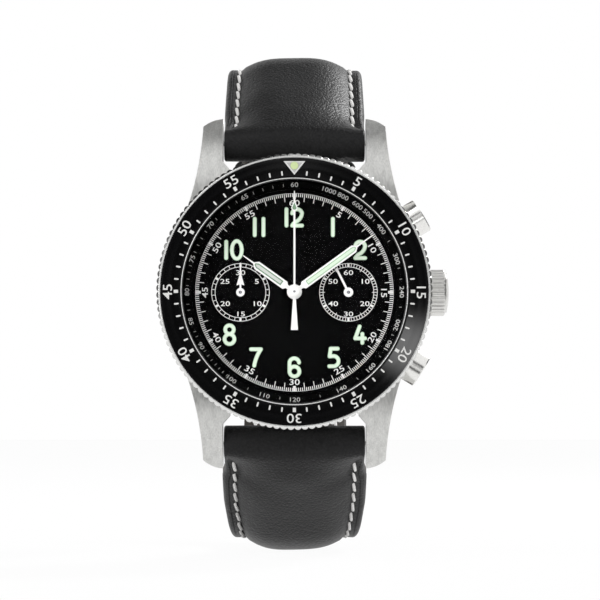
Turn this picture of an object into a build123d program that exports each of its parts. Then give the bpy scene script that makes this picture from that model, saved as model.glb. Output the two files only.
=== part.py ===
from build123d import *
import os
from math import atan2, cos, degrees, hypot, pi, radians, sin

# A pilot chronograph on a padded leather strap, unbuckled, dial upright.
# The pieces are drawn lying dial up: x to 3 o'clock, y to 12 o'clock, z from
# the case back's outer face to the viewer. turn_upright stands them up, so
# that 12 o'clock points along +Z and the dial faces -Y. All sizes are in mm.

# Levels from the case back's outer face up, each from the one below it
back_wall = 1.6
chrono_work_gap = 0.9
chrono_work_room = 0.5
bridge_thickness = 0.75
train_room = 1.55
plate_thickness = 1.65
dial_seat_gap = 0.05
dial_thickness = 0.4
dial_sink = 1.6
case_foot_rise = 0.4
register_hand_gap = 0.25
hour_hand_gap = 0.75
minute_hand_step = 0.6
chrono_hand_step = 0.55
crystal_gap = 0.6
crystal_seat_depth = 0.68
crystal_edge_height = 2.2
crystal_stand = 0.1
bezel_foot_gap = 0.15
bezel_grip_height = 2.15
bezel_edge_height = 0.35
chrono_level = back_wall + chrono_work_gap
bridge_bottom = chrono_level + chrono_work_room
bridge_top = bridge_bottom + bridge_thickness
plate_bottom = bridge_top + train_room
plate_top = plate_bottom + plate_thickness
dial_bottom = plate_top + dial_seat_gap
dial_top = dial_bottom + dial_thickness
register_hand_bottom = dial_top + register_hand_gap
hour_hand_bottom = dial_top + hour_hand_gap
minute_hand_bottom = hour_hand_bottom + minute_hand_step
chrono_hand_bottom = minute_hand_bottom + chrono_hand_step
crystal_seat = chrono_hand_bottom + crystal_gap
neck_seat = crystal_seat - crystal_seat_depth
crystal_edge_top = crystal_seat + crystal_edge_height
neck_top = crystal_edge_top - crystal_stand
case_bottom = back_wall - case_foot_rise
case_top = dial_bottom + dial_sink
bezel_bottom = case_top + bezel_foot_gap
bezel_grip_top = bezel_bottom + bezel_grip_height
bezel_edge_top = bezel_grip_top + bezel_edge_height

# Driving sizes of the case
bezel_radius = 21.0
bezel_scallop_depth = 0.34
bezel_scallops = 120
lug_gap = 22.0
bezel_overhang = 0.6
case_radius = bezel_radius - bezel_overhang
case_foot_step = 0.9
case_wall = 3.8
case_bore_radius = case_radius - case_wall
overrun = 0.6

# Neck of the case, which carries the crystal and guides the bezel
neck_guide_height = 1.45
neck_guide_top = bezel_bottom + neck_guide_height
neck_step = 0.52
neck_wall = 0.3
neck_guide_wall = 0.48
neck_bore_radius = case_bore_radius + neck_step
neck_radius = neck_bore_radius + neck_wall
neck_guide_radius = neck_radius + neck_guide_wall

# Lugs
lug_tip_outer = (14.05, 25.7)
lug_tip_reach = 27.0
lug_flank_middle = (14.75, 19.2)
lug_flank_root = (16.9, 11.4)
lug_root_inner = (9.9, 18.85)
lug_root_depth = 15.0
lug_notch_reach = 20.1
lug_top_root = (10.5, 8.2)
lug_top_middle = (20.6, 6.9)
lug_top_tip = (27.0, 2.5)
lug_foot_tip = (26.2, 0.5)
lug_foot_root = (14.0, 1.5)
tip_curve_inset = 0.25

# Spring bars
bar_offset = 2.8
bar_reach = case_radius + bar_offset
bar_height = 2.6
bar_radius = 0.9
bar_end_gap = 0.3
bar_tip_radius = 0.4
bar_tip_entry = 0.9
bar_tip_depth_in_bar = 1.2
lug_hole_clearance = 0.05
lug_hole_spare = 0.3
strap_recess_clearance = 0.4

# Case back and its gasket
back_seat_width = 1.3
back_fit = 0.1
back_collar_wall = 0.9
back_radius = case_bore_radius + back_seat_width
back_collar_radius = case_bore_radius - back_fit
back_collar_bore = back_collar_radius - back_collar_wall
back_collar_gap = 0.4
back_collar_top = bridge_bottom - back_collar_gap
back_notch_width = 2.4
back_notch_margin = 1.0
back_notch_inner = back_radius - 3 * back_notch_margin
back_notch_outer = back_radius - back_notch_margin
back_notch_depth = 0.6
back_notches = 6
back_edge_round = 0.35
back_gasket_gap = 0.25
back_gasket_margin = 0.45
back_gasket_inner = back_collar_radius + back_gasket_gap
back_gasket_outer = back_radius - back_gasket_margin
back_gasket_depth = 0.5

# Crystal, its gasket and the flange ring under it
crystal_gasket_wall = 0.17
crystal_radius = neck_bore_radius - crystal_gasket_wall
crystal_dome_rise = 1.3
crystal_hollow_rise = 1.0
crystal_chamfer = 0.15
dial_fit = 0.1
dial_radius = case_bore_radius - dial_fit
flange_foot_width = 0.8
flange_foot_inner = dial_radius - flange_foot_width
flange_foot_outer = dial_radius
flange_rim_fit = 0.07
flange_rim_lap = 0.15
flange_rim_outer = neck_bore_radius - flange_rim_fit
flange_rim_inner = crystal_radius - flange_rim_lap
flange_foot_edge = 0.25

# Dial
dial_centre_hole = 1.0
register_offset = 8.24
register_radius = 4.55
register_depth = 0.08
register_hole = 0.4

# Hour numerals, in round-ended strokes of luminous paint
numeral_height = 3.1
numeral_width = 2.1
numeral_stroke = 0.6
numeral_thickness = 0.1
digit_pitch = 1.33
wide_digit_pitch = 1.62
eight_top_share = 0.86

# Rotating bezel
bezel_foot_chamfer = 0.3
bezel_edge_step = 0.04
bezel_edge_radius = bezel_radius - bezel_scallop_depth - bezel_edge_step
bezel_running_gap = 0.06
insert_edge_width = 0.24
insert_neck_gap = 0.08
insert_outer_radius = bezel_edge_radius - insert_edge_width
insert_inner_radius = neck_radius + insert_neck_gap
insert_sink = 0.5
insert_rise = 0.45
insert_outer_floor = bezel_edge_top - insert_sink
insert_inner_floor = insert_outer_floor + insert_rise
insert_thickness = 0.6
insert_fit = 0.02
wire_rise = 0.75
wire_offset = 0.03
wire_height = bezel_bottom + wire_rise
wire_radius = 0.25
wire_ring_radius = neck_guide_radius + wire_offset
wire_clearance = 0.05
click_groove_margin = 0.6
click_groove_width = 1.2
click_groove_inner = neck_guide_radius + click_groove_margin
click_groove_outer = click_groove_inner + click_groove_width
click_groove_depth = 0.45
click_spring_margin = 0.1
click_spring_thickness = 0.3
click_spring_gap_width = 4.0
triangle_base_margin = 0.58
triangle_apex_margin = 0.2
triangle_base_radius = insert_outer_radius - triangle_base_margin
triangle_apex_radius = insert_inner_radius + triangle_apex_margin
triangle_base_width = 3.3
pip_radius = 0.6
pip_margin = 0.7
pip_place = triangle_base_radius - pip_margin
triangle_thickness = 0.06
pip_thickness = 0.12

# Crown, its tube, gasket and stem, along the 3 o'clock axis
crown_height = (case_bottom + case_top) / 2
crown_side_gap = 0.15
crown_radius = (case_top - case_bottom) / 2 - crown_side_gap
crown_flute_depth = 0.22
crown_flutes = 30
crown_gap = 0.35
crown_length = 2.35
crown_cap_height = 0.6
crown_inner_face = case_radius + crown_gap
crown_shoulder = crown_inner_face + crown_length
crown_cap_step = 0.5
crown_cap_base_radius = crown_radius - crown_cap_step
crown_top = crown_shoulder + crown_cap_height
crown_cap_rise = 0.35
crown_tube_radius = 1.3
crown_cavity_room = 0.45
crown_cavity_radius = crown_tube_radius + crown_cavity_room
crown_roof_depth = 0.75
crown_cavity_roof = crown_shoulder - crown_roof_depth
crown_tube_bore = 0.95
crown_tube_inset = 0.1
crown_tube_roof_gap = 0.15
crown_tube_inner_end = case_bore_radius + crown_tube_inset
crown_tube_outer_end = crown_cavity_roof - crown_tube_roof_gap
crown_gasket_fit = 0.04
crown_gasket_inner = crown_tube_radius + crown_gasket_fit
crown_gasket_depth = 0.25
crown_gasket_length = 0.5
crown_gasket_start = crown_inner_face + crown_gasket_depth
crown_gasket_end = crown_gasket_start + crown_gasket_length
stem_radius = 0.5
stem_inner_end = 12.4
stem_end_cover = 0.2
stem_outer_end = crown_shoulder - stem_end_cover
stem_passage = 0.7
stem_fit = 0.03

# Chronograph pushers
pusher_angles = (31.5, -31.5)
pusher_height = crown_height
pusher_cap_radius = 2.7
pusher_cap_length = 2.6
pusher_cap_crown = 0.6
pusher_cap_inner = case_radius
pusher_cap_outer = pusher_cap_inner + pusher_cap_length
pusher_cap_roof = pusher_cap_outer - pusher_cap_crown
pusher_cap_edge = 0.15
pusher_travel = 0.9
pusher_recess_gap = 0.2
pusher_recess_radius = pusher_cap_radius + pusher_recess_gap
pusher_recess_floor = pusher_cap_inner - pusher_travel - pusher_recess_gap
pusher_tube_radius = 1.5
pusher_shaft_radius = 0.7
pusher_shaft_fit = 0.08
pusher_tube_bore = pusher_shaft_radius + pusher_shaft_fit
pusher_tube_inset = 0.4
pusher_tube_end_gap = 0.2
pusher_tube_inner_end = case_bore_radius + pusher_tube_inset
pusher_tube_outer_end = pusher_cap_roof - pusher_travel - pusher_tube_end_gap
pusher_shaft_inset = 0.25
pusher_shaft_inner_end = pusher_tube_inner_end + pusher_shaft_inset
pusher_spring_fit = 0.05
pusher_spring_wall = 0.45
pusher_spring_inner = pusher_tube_radius + pusher_spring_fit
pusher_spring_outer = pusher_spring_inner + pusher_spring_wall
pusher_cap_bore_gap = 0.1
pusher_cap_bore = pusher_spring_outer + pusher_cap_bore_gap
pusher_spring_seat_gap = 0.05
pusher_passage_gap = 0.3
pusher_passage = pusher_shaft_radius + pusher_passage_gap

# Movement: holder, plate, bridge and cock
holder_fit = 0.1
holder_wall = 1.4
holder_outer = case_bore_radius - holder_fit
holder_inner = holder_outer - holder_wall
holder_foot = 0.1
holder_bottom = bridge_bottom - holder_foot
holder_top = plate_top
plate_fit = 0.05
plate_radius = holder_inner - plate_fit
plate_recess_radius = 5.3
plate_floor = 0.6
plate_recess_floor = plate_bottom + plate_floor
bridge_radius = plate_radius
pillar_radius = 0.7
pillar_places = ((-11.8, 6.8), (-11.1, -7.8), (11.1, 7.8), (-1.2, -13.4))
screw_head_radius = 1.1
screw_head_height = 0.35
screw_slot_width = 0.25
screw_slot_depth = 0.15
cock_place = (11.9, -7.6)
cock_width = 2.6
cock_gap = 0.3
pivot_clearance = 0.04

# Arbors
centre_arbor_radius = 0.38
centre_arbor_bore = 0.25
arbor_radius = 0.3
pivot_radius = 0.15
register_arbor_radius = 0.25
pivot_depth = 0.45
chrono_arbor_radius = 0.2

# Going train: tooth counts, centre distances and the level of each wheel
tooth_gap = 0.03
barrel_teeth = 80
centre_pinion_leaves = 10
centre_teeth = 64
third_pinion_leaves = 8
third_teeth = 60
fourth_pinion_leaves = 8
fourth_teeth = 70
escape_pinion_leaves = 7
escape_teeth = 15
barrel_distance = 6.2
third_distance = 4.6
escape_distance = 4.1
escape_direction = -45.0
escape_radius = 1.9
barrel_drum_share = 0.9
wheel_thickness = 0.2
level_high_drop = 0.45
level_high = plate_bottom - level_high_drop
level_step = 0.4
level_low_step = 0.35
level_middle = level_high - level_step
level_low = level_middle - level_low_step
barrel_drum_depth = 0.53
barrel_drum_gap = 0.1
barrel_drum_bottom = level_high - barrel_drum_depth
barrel_drum_top = level_high - barrel_drum_gap
barrel_arbor_radius = 0.8
barrel_lid_thickness = 0.12
mainspring_width = 0.2
wheel_rim_share = 0.8
wheel_hub_share = 0.26
spoke_share = 0.1
wheel_spokes = 4
tooth_depth_share = 0.8
tooth_shares = (0.0, 0.3, 0.55, 0.85)
escape_tip_share = 0.35

# Balance, hairspring and pallet fork
balance_place = (6.0, -9.0)
balance_radius = 3.5
balance_rim_width = 0.45
balance_gap = 0.2
balance_bottom = bridge_top + balance_gap
balance_thickness = 0.38
balance_spoke_width = 0.5
balance_roller_radius = 0.45
hairspring_inner = 0.55
hairspring_pitch = 0.26
hairspring_turns = 5
hairspring_width = 0.06
hairspring_rise = 0.53
hairspring_bottom = balance_bottom + hairspring_rise
hairspring_thickness = 0.14
pallet_distance = 2.9
pallet_lever_length = 4.2
pallet_lever_width = 0.4
pallet_arm_reach = 1.5
pallet_arm_width = 0.5
pallet_stone_length = 0.3
pallet_stone_width = 0.24
pallet_thickness = 0.16

# Motion work under the dial
motion_distance = 2.88
motion_direction = 225.0
cannon_leaves = 12
minute_wheel_teeth = 36
minute_pinion_leaves = 10
hour_wheel_teeth = 40
motion_gap = 0.1
motion_step = 0.5
motion_level_low = plate_recess_floor + motion_gap
motion_level_high = motion_level_low + motion_step
motion_wheel_thickness = 0.22
cannon_radius = 0.5
cannon_bore = 0.42
hour_pipe_radius = 0.85
hour_pipe_bore = 0.56
minute_post_radius = 0.3

# Chronograph work under the bridge
chrono_wheel_radius = 3.0
chrono_finger_width = 0.3
counter_teeth = 30
idler_teeth = 15
counter_pitch_radius = 2.6
chrono_wheel_thickness = 0.25

# Hands: heights above the case back's face and lengths
hand_thickness = 0.2
thin_hand_thickness = 0.15
hub_rise = 0.18
hub_cap_share = 0.8
chrono_cap_share = 0.7
lume_tip_share = 0.33
lume_point_borders = 3.0
hour_hand_angle = -54.5
minute_hand_angle = 54.0
small_seconds_angle = -27.0
hour_hand_length = 9.6
minute_hand_length = 14.8
hour_body = (1.75, 7.05, 7.65)
minute_body = (1.75, 11.2, 11.8)
hour_half_width = 0.66
minute_half_width = 0.62
hand_neck_half_width = 0.3
needle_half_width = 0.12
needle_tip_half_width = 0.07
hand_hub_radius = 1.14
lume_border = 0.27
lume_start = 2.35
lume_proud = 0.03
chrono_hand_length = 15.4
chrono_tail_length = 5.8
chrono_tail_half_width = 0.55
chrono_needle_half_width = 0.15
chrono_hub_radius = 0.95
drop_start = 12.35
drop_widest = 12.85
drop_end = 14.1
drop_half_width = 0.48
drop_border = 0.16
counter_hand_length = 4.5
counter_barb_start = 1.05
counter_barb_half_width = 0.6
counter_neck_half_width = 0.14
counter_hub_radius = 0.65
seconds_hand_length = 4.1
seconds_hand_half_width = 0.17
seconds_hub_radius = 0.72

# Strap halves: straight and curved stretches from the spring bar, as
# (length, turn in degrees), and the widths along them
strap_side_clearance = 0.15
strap_end_width = 18.0
strap_boss_radius = 2.85
strap_bore_clearance = 0.06
strap_leather = 1.3
strap_lining = 1.2
strap_border = 2.3
strap_skin = 1.2
short_heading = -62.0
short_stretches = ((23.0, 0.0), (8.8, -28.0), (12.0, -35.0), (31.2, 0.0))
long_heading = -61.0
long_stretches = ((24.5, 0.0), (9.6, -29.0), (29.3, -28.0), (28.3, -18.0), (28.3, -18.0))
short_taper = (30.0, 44.0)
long_taper = (18.0, 55.0)
short_padding = ((1.5, 2.7), (6.0, 3.8), (23.0, 3.7), (31.8, 3.2), (39.0, 1.9), (42.5, 1.4))
long_padding = ((1.5, 2.7), (6.0, 3.8), (24.5, 3.7), (34.1, 3.3), (50.0, 2.3), (60.0, 1.4))
tip_length = 11.0
tip_shoulder_share = 0.62
hole_radius = 0.95
hole_first = 72.0
hole_pitch = 6.2
hole_count = 6

# Buckle, tongue and keepers
buckle_boss_radius = 1.9
buckle_bar_radius = 0.75
buckle_bar_clearance = 0.06
buckle_side_gap = 0.35
buckle_side_width = 1.7
buckle_window = 8.6
buckle_front_width = 2.4
buckle_half_thickness = 1.0
buckle_eye_radius = 1.5
buckle_corner_round = 2.4
tongue_width = 1.9
tongue_slot_gap = 0.35
tongue_slot_length = 6.0
tongue_hub_radius = 1.3
tongue_thickness = 0.8
tongue_rest_gap = 0.1
tongue_overhang = 0.3
tongue_lip = 0.1
keeper_length = 6.0
keeper_wall = 1.2
keeper_side_gap = 0.35
keeper_tail_room = 2.8
keeper_under_gap = 0.3
free_keeper_place = 52.0
fixed_keeper_place = 66.5
fixed_keeper_length = 5.0


def polar(radius, angle):
    return (radius * cos(radians(angle)), radius * sin(radians(angle)))


def bearing(start, end):
    """Direction from one place to another, in degrees from x."""
    return degrees(atan2(end[1] - start[1], end[0] - start[0]))


def turn_upright(shape):
    return Rot(90, 0, 0) * shape


def clockwise(angle, shape):
    return Rot(0, 0, -angle) * shape


def slab(sketch, bottom, thickness):
    return Pos(0, 0, bottom) * extrude(sketch, thickness)


def disc(radius, bottom, top, place=(0, 0)):
    return Pos(*place, 0) * slab(Circle(radius), bottom, top - bottom)


def tube(outer, inner, bottom, top, place=(0, 0)):
    return Pos(*place, 0) * slab(Circle(outer) - Circle(inner), bottom, top - bottom)


def turned(*points):
    """A solid of revolution about the watch's axis, from (radius, height) points."""
    profile = Plane.XZ * make_face(Polyline(*points, close=True))
    return revolve(profile, Axis.Z)


def radial(shape, angle, height):
    """Lay a shape drawn along +Z along the radius at this angle."""
    return Pos(0, 0, height) * Rot(0, 0, angle) * Rot(0, 90, 0) * shape


# Outline of a toothed wheel: one crest and one root for each tooth
def toothed(teeth, pitch_radius):
    depth = tooth_depth_share * pitch_radius * pi / teeth
    tip = pitch_radius - tooth_gap / 2
    root = tip - depth
    points = []
    for tooth in range(teeth):
        for share, radius in zip(tooth_shares, (root, tip, tip, root)):
            points.append(polar(radius, 360 * (tooth + share) / teeth))
    return make_face(Polyline(*points, close=True))


def crossed(outline, pitch_radius, spokes=wheel_spokes):
    """Cut a wheel out between its rim, its spokes and its hub."""
    window = Circle(pitch_radius * wheel_rim_share) - Circle(pitch_radius * wheel_hub_share)
    for spoke in range(spokes):
        arm = Pos(pitch_radius / 2, 0) * Rectangle(pitch_radius * 2, pitch_radius * spoke_share * 2)
        window -= Rot(0, 0, 360 * spoke / spokes) * arm
    return outline - window


# Case
def lug():
    tip_middle = (
        (lug_gap / 2 + lug_tip_outer[0]) / 2 + tip_curve_inset / 2,
        (lug_tip_reach + lug_tip_outer[1]) / 2 + tip_curve_inset,
    )
    plan = make_face([
        ThreePointArc((lug_gap / 2, lug_tip_reach), tip_middle, lug_tip_outer),
        ThreePointArc(lug_tip_outer, lug_flank_middle, lug_flank_root),
        Line(lug_flank_root, (lug_root_inner[0], lug_root_depth)),
        Line((lug_root_inner[0], lug_root_depth), lug_root_inner),
        Line(lug_root_inner, (lug_gap / 2, lug_notch_reach)),
        Line((lug_gap / 2, lug_notch_reach), (lug_gap / 2, lug_tip_reach)),
    ])
    side = Plane.YZ * make_face([
        ThreePointArc(lug_top_root, lug_top_middle, lug_top_tip),
        Line(lug_top_tip, lug_foot_tip),
        Line(lug_foot_tip, lug_foot_root),
        Line(lug_foot_root, (lug_top_root[0], lug_foot_root[1])),
        Line((lug_top_root[0], lug_foot_root[1]), lug_top_root),
    ])
    return slab(plan, 0, case_top) & extrude(side, bezel_radius)


def group(shapes):
    """Several separate solids as one piece."""
    return Compound([solid for shape in shapes for solid in shape.solids()])


def both_ways(shape):
    """The shape and its copies on the other three corners."""
    pair = shape + mirror(shape, about=Plane.YZ)
    return pair + mirror(pair, about=Plane.XZ)


def across_bar(radius, half_length):
    """A round bar along x, centred on the spring bar's axis."""
    bar = extrude(Plane.YZ * Circle(radius), half_length, both=True)
    return Pos(0, bar_reach, bar_height) * bar


def ends(shape):
    return shape + mirror(shape, about=Plane.XZ)


def mid_case():
    body = turned(
        (case_bore_radius, case_bottom),
        (case_radius - case_foot_step, case_bottom),
        (case_radius, case_bottom + case_foot_step),
        (case_radius, case_top),
        (neck_guide_radius, case_top),
        (neck_guide_radius, neck_guide_top),
        (neck_radius, neck_guide_top),
        (neck_radius, neck_top),
        (neck_bore_radius, neck_top),
        (neck_bore_radius, neck_seat),
        (case_bore_radius, neck_seat),
    )
    body += both_ways(lug()) - disc(case_radius - case_foot_step, 0, case_top)
    body -= ends(across_bar(strap_boss_radius + strap_recess_clearance, lug_gap / 2))
    hole_half = lug_gap / 2 + bar_tip_entry + lug_hole_spare
    body -= ends(across_bar(bar_tip_radius + lug_hole_clearance, hole_half))
    body -= tube(back_gasket_outer, back_gasket_inner, case_bottom, case_bottom + back_gasket_depth)
    body -= tube(click_groove_outer, click_groove_inner, case_top - click_groove_depth, case_top)
    wire_groove = Plane.XZ * Pos(wire_ring_radius, wire_height) * Circle(wire_radius)
    body -= revolve(wire_groove, Axis.Z)
    body -= radial(disc(crown_tube_radius, plate_radius, bezel_radius), 0, crown_height)
    for angle in pusher_angles:
        recess = disc(pusher_recess_radius, pusher_recess_floor, bezel_radius + overrun)
        bore = disc(pusher_tube_radius, plate_radius, bezel_radius)
        body -= radial(recess + bore, angle, pusher_height)
    return body


def case_back():
    shell = turned(
        (0, 0),
        (back_radius - back_edge_round, 0),
        (back_radius, back_edge_round),
        (back_radius, case_bottom),
        (back_collar_radius, case_bottom),
        (back_collar_radius, back_collar_top),
        (back_collar_bore, back_collar_top),
        (back_collar_bore, back_wall),
        (0, back_wall),
    )
    notch_length = back_notch_outer - back_notch_inner
    notch_middle = (back_notch_outer + back_notch_inner) / 2
    for notch in range(back_notches):
        cut = Pos(notch_middle, 0) * Rectangle(notch_length, back_notch_width)
        shell -= Rot(0, 0, 360 * notch / back_notches) * slab(cut, 0, back_notch_depth)
    return shell


def dome(radius, edge_height, rise, chamfer_size=0):
    """The solid under a spherical dome, down to the case back."""
    crest = edge_height + rise
    rim = radius - chamfer_size
    middle = 2 * rim / 3
    sphere = (rim ** 2 + rise ** 2) / (2 * rise)
    middle_height = crest - sphere + (sphere ** 2 - middle ** 2) ** 0.5
    outline = [
        Line((0, 0), (radius, 0)),
        Line((radius, 0), (radius, edge_height - chamfer_size)),
        ThreePointArc((rim, edge_height), (middle, middle_height), (0, crest)),
        Line((0, crest), (0, 0)),
    ]
    if chamfer_size:
        outline.append(Line((radius, edge_height - chamfer_size), (rim, edge_height)))
    return revolve(Plane.XZ * make_face(outline), Axis.Z)


def crystal():
    glass = dome(crystal_radius, crystal_edge_top, crystal_dome_rise, crystal_chamfer)
    glass -= dome(flange_rim_inner, crystal_seat, crystal_hollow_rise)
    return glass - disc(crystal_radius + overrun, 0, crystal_seat)


def case_gaskets():
    """The crystal's sleeve and the ring between the case and its back."""
    sleeve = tube(neck_bore_radius, crystal_radius, crystal_seat, neck_top - crystal_chamfer)
    back_ring = tube(
        back_gasket_outer, back_gasket_inner, case_bottom, case_bottom + back_gasket_depth)
    return group([sleeve, back_ring])


def flange_ring():
    return turned(
        (flange_foot_inner, dial_top),
        (flange_foot_outer, dial_top),
        (flange_foot_outer, neck_seat),
        (flange_rim_outer, neck_seat),
        (flange_rim_outer, crystal_seat),
        (flange_rim_inner, crystal_seat),
        (flange_foot_inner, dial_top + flange_foot_edge),
    )


def dial():
    plate = disc(dial_radius, dial_bottom, dial_top) - disc(dial_centre_hole, 0, case_top)
    for side in (-1, 1):
        place = (side * register_offset, 0)
        plate -= disc(register_radius, dial_top - register_depth, case_top, place)
        plate -= disc(register_hole, 0, case_top, place)
    return plate


# Numeral strokes, as shares of half the stroke frame's width and height
digit_shares = {
    "1": [((0, -1), (0, 1))],
    "2": [((-1, 0.5), (0, 1.0), (1, 0.5)), ((1, 0.5), (0.72, -0.02), (0.1, -0.42)),
          ((0.1, -0.42), (-0.62, -0.7), (-1, -1)), ((-1, -1), (1, -1))],
    "4": [((-0.1, 1), (-1, -0.45)), ((-1, -0.45), (1, -0.45)), ((0.45, 0.1), (0.45, -1))],
    "5": [((0.8, 1), (-0.62, 1)), ((-0.62, 1), (-0.85, 0.12)), ((-0.85, 0.12), (-0.1, 0.16)),
          ((-0.1, 0.16), (0.97, -0.42), (-0.1, -1)), ((-0.1, -1), (-0.9, -1))],
    "7": [((-1, 1), (1, 1)), ((1, 1), (0.05, -0.1), (-0.35, -1))],
}
six_tail_shares = [((-1, -0.45), (-1, 0.42)), ((-1, 0.42), (0, 1), (0.93, 0.53))]
digit_height_shares = {"0": 1.06, "5": 1.06, "6": 1.08, "8": 1.11}


def stroke(points, half_width, half_height):
    places = [(half_width * x, half_height * y) for x, y in points]
    if len(places) == 3:
        return SlotArc(ThreePointArc(*places), numeral_stroke)
    return capsule(*places, numeral_stroke)


def capsule(start, end, width):
    """A round-ended bar between two places."""
    bar = SlotCenterToCenter(hypot(end[0] - start[0], end[1] - start[1]), width)
    middle = ((start[0] + end[0]) / 2, (start[1] + end[1]) / 2)
    return Pos(*middle) * Rot(0, 0, bearing(start, end)) * bar


def loop(radius, x, y):
    return Pos(x, y) * (Circle(radius + numeral_stroke / 2) - Circle(radius - numeral_stroke / 2))


def digit(name):
    half_width = (numeral_width - numeral_stroke) / 2
    height = numeral_height * digit_height_shares.get(name, 1)
    half_height = (height - numeral_stroke) / 2
    if name == "0":
        outer = Ellipse(numeral_width / 2, height / 2)
        return outer - Ellipse(half_width - numeral_stroke / 2, half_height - numeral_stroke / 2)
    if name == "8":
        top = half_width * eight_top_share
        return loop(half_width, 0, half_width - half_height) + loop(top, 0, half_height - top)
    if name == "6":
        shape = loop(half_width, 0, half_width - half_height)
        for points in six_tail_shares:
            shape += stroke(points, half_width, half_height)
        return shape
    shape = None
    for points in digit_shares[name]:
        piece = stroke(points, half_width, half_height)
        shape = piece if shape is None else shape + piece
    return shape


# Where the numerals' centres lie on the dial, from 12 o'clock clockwise
numeral_places = {
    "12": (-0.41, 11.45), "1": (5.87, 9.98), "2": (10.04, 6.48), "4": (10.02, -6.47), "5": (6.0, -9.94),
    "6": (0.0, -11.45), "7": (-5.87, -9.94), "8": (-9.91, -6.47), "10": (-9.61, 6.48), "11": (-5.4, 9.98),
}


def hour_numerals():
    raised = []
    for name, place in numeral_places.items():
        pitch = digit_pitch if name == "11" else wide_digit_pitch
        start = -pitch * (len(name) - 1) / 2
        for index, character in enumerate(name):
            shape = slab(digit(character), dial_top, numeral_thickness)
            raised += (Pos(place[0] + start + pitch * index, place[1], 0) * shape).solids()
    return group(raised)


# Bezel
def scalloped(radius, depth, count):
    """A round outline with convex scallops."""
    arcs = []
    for index in range(count):
        start, middle, end = ((index + share) * 360 / count for share in (0, 0.5, 1))
        arcs.append(ThreePointArc(
            polar(radius - depth, start), polar(radius, middle), polar(radius - depth, end)))
    return make_face(arcs)


def bezel_ring():
    guide = neck_guide_radius + bezel_running_gap
    profile = turned(
        (guide, bezel_bottom),
        (bezel_radius - bezel_foot_chamfer, bezel_bottom),
        (bezel_radius + bezel_foot_chamfer, bezel_bottom + 2 * bezel_foot_chamfer),
        (bezel_radius + bezel_foot_chamfer, bezel_grip_top),
        (bezel_radius, bezel_grip_top),
        (bezel_edge_radius, bezel_edge_top),
        (insert_outer_radius, bezel_edge_top),
        (insert_outer_radius, insert_outer_floor),
        (insert_inner_radius, insert_inner_floor),
        (insert_inner_radius, neck_guide_top + bezel_running_gap),
        (guide, neck_guide_top + bezel_running_gap),
    )
    grip = slab(scalloped(bezel_radius, bezel_scallop_depth, bezel_scallops), bezel_bottom, neck_top)
    ring = profile & grip
    groove_centre = Pos(wire_ring_radius, wire_height)
    groove = Plane.XZ * groove_centre * Circle(wire_radius + wire_clearance)
    return ring - revolve(groove, Axis.Z)


def insert_profile(raise_by, outer, inner):
    """Points of the sloped insert between two radii, lifted by this height."""
    slope = (insert_outer_floor - insert_inner_floor) / (insert_outer_radius - insert_inner_radius)
    outer_height = insert_inner_floor + slope * (outer - insert_inner_radius)
    inner_height = insert_inner_floor + slope * (inner - insert_inner_radius)
    return (inner, inner_height + raise_by), (outer, outer_height + raise_by)


def bezel_insert():
    outer = insert_outer_radius - insert_fit
    low_inner, low_outer = insert_profile(0, outer, insert_inner_radius)
    top_inner, top_outer = insert_profile(insert_thickness, outer, insert_inner_radius)
    return turned(low_inner, low_outer, top_outer, top_inner)


def on_insert(sketch, thickness):
    """A thin marking that lies on the sloped insert at 12 o'clock."""
    inner, outer = insert_profile(insert_thickness, insert_outer_radius, insert_inner_radius)
    run, drop_height = outer[0] - inner[0], inner[1] - outer[1]
    height = inner[1] - drop_height * (pip_place - inner[0]) / run
    surface = Plane(origin=(0, pip_place, height), x_dir=(1, 0, 0), z_dir=(0, drop_height, run))
    return extrude(surface * Pos(0, -pip_place) * sketch, thickness)


def bezel_triangle():
    half = triangle_base_width / 2
    outline = Polygon(
        (half, triangle_base_radius), (-half, triangle_base_radius), (0, triangle_apex_radius),
        align=None)
    return on_insert(outline - Pos(0, pip_place) * Circle(pip_radius), triangle_thickness)


def bezel_pip():
    return on_insert(Pos(0, pip_place) * Circle(pip_radius), pip_thickness)


def bezel_springs():
    """The wire that holds the bezel on and the leaf that clicks under it."""
    section = Plane.XZ * Pos(wire_ring_radius, wire_height) * Circle(wire_radius)
    wire_gap = Pos(0, -wire_ring_radius, wire_height) * Box(
        2 * wire_radius, 4 * wire_radius, 4 * wire_radius)
    bottom = case_top - click_groove_depth
    leaf = tube(
        click_groove_outer - click_spring_margin, click_groove_inner + click_spring_margin,
        bottom, bottom + click_spring_thickness)
    leaf_gap = Pos(-click_groove_outer, 0, bottom) * Box(
        click_groove_outer, click_spring_gap_width, click_spring_gap_width)
    return group([revolve(section, Axis.Z) - wire_gap, leaf - leaf_gap])


# Crown and pushers
def crown():
    body = turned(
        (0, crown_inner_face),
        (crown_radius - crown_flute_depth, crown_inner_face),
        (crown_radius, crown_inner_face + crown_flute_depth),
        (crown_radius, crown_shoulder - crown_flute_depth),
        (crown_cap_base_radius, crown_shoulder + crown_flute_depth / 2),
        (0, crown_shoulder + crown_flute_depth / 2),
    )
    flutes = scalloped(crown_radius, crown_flute_depth, crown_flutes)
    body = body & slab(flutes, crown_inner_face, crown_top)
    cap_foot = crown_top - crown_cap_rise
    body += dome(crown_cap_base_radius, cap_foot, crown_cap_rise) - disc(crown_radius, 0, crown_shoulder)
    body -= disc(crown_cavity_radius, crown_inner_face, crown_cavity_roof)
    body -= disc(stem_radius + stem_fit, crown_cavity_roof, stem_outer_end + stem_fit)
    return radial(body, 0, crown_height)


def crown_gasket():
    ring = tube(crown_cavity_radius, crown_gasket_inner, crown_gasket_start, crown_gasket_end)
    return radial(ring, 0, crown_height)


def winding_stem():
    return radial(disc(stem_radius, stem_inner_end, stem_outer_end), 0, crown_height)


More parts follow.
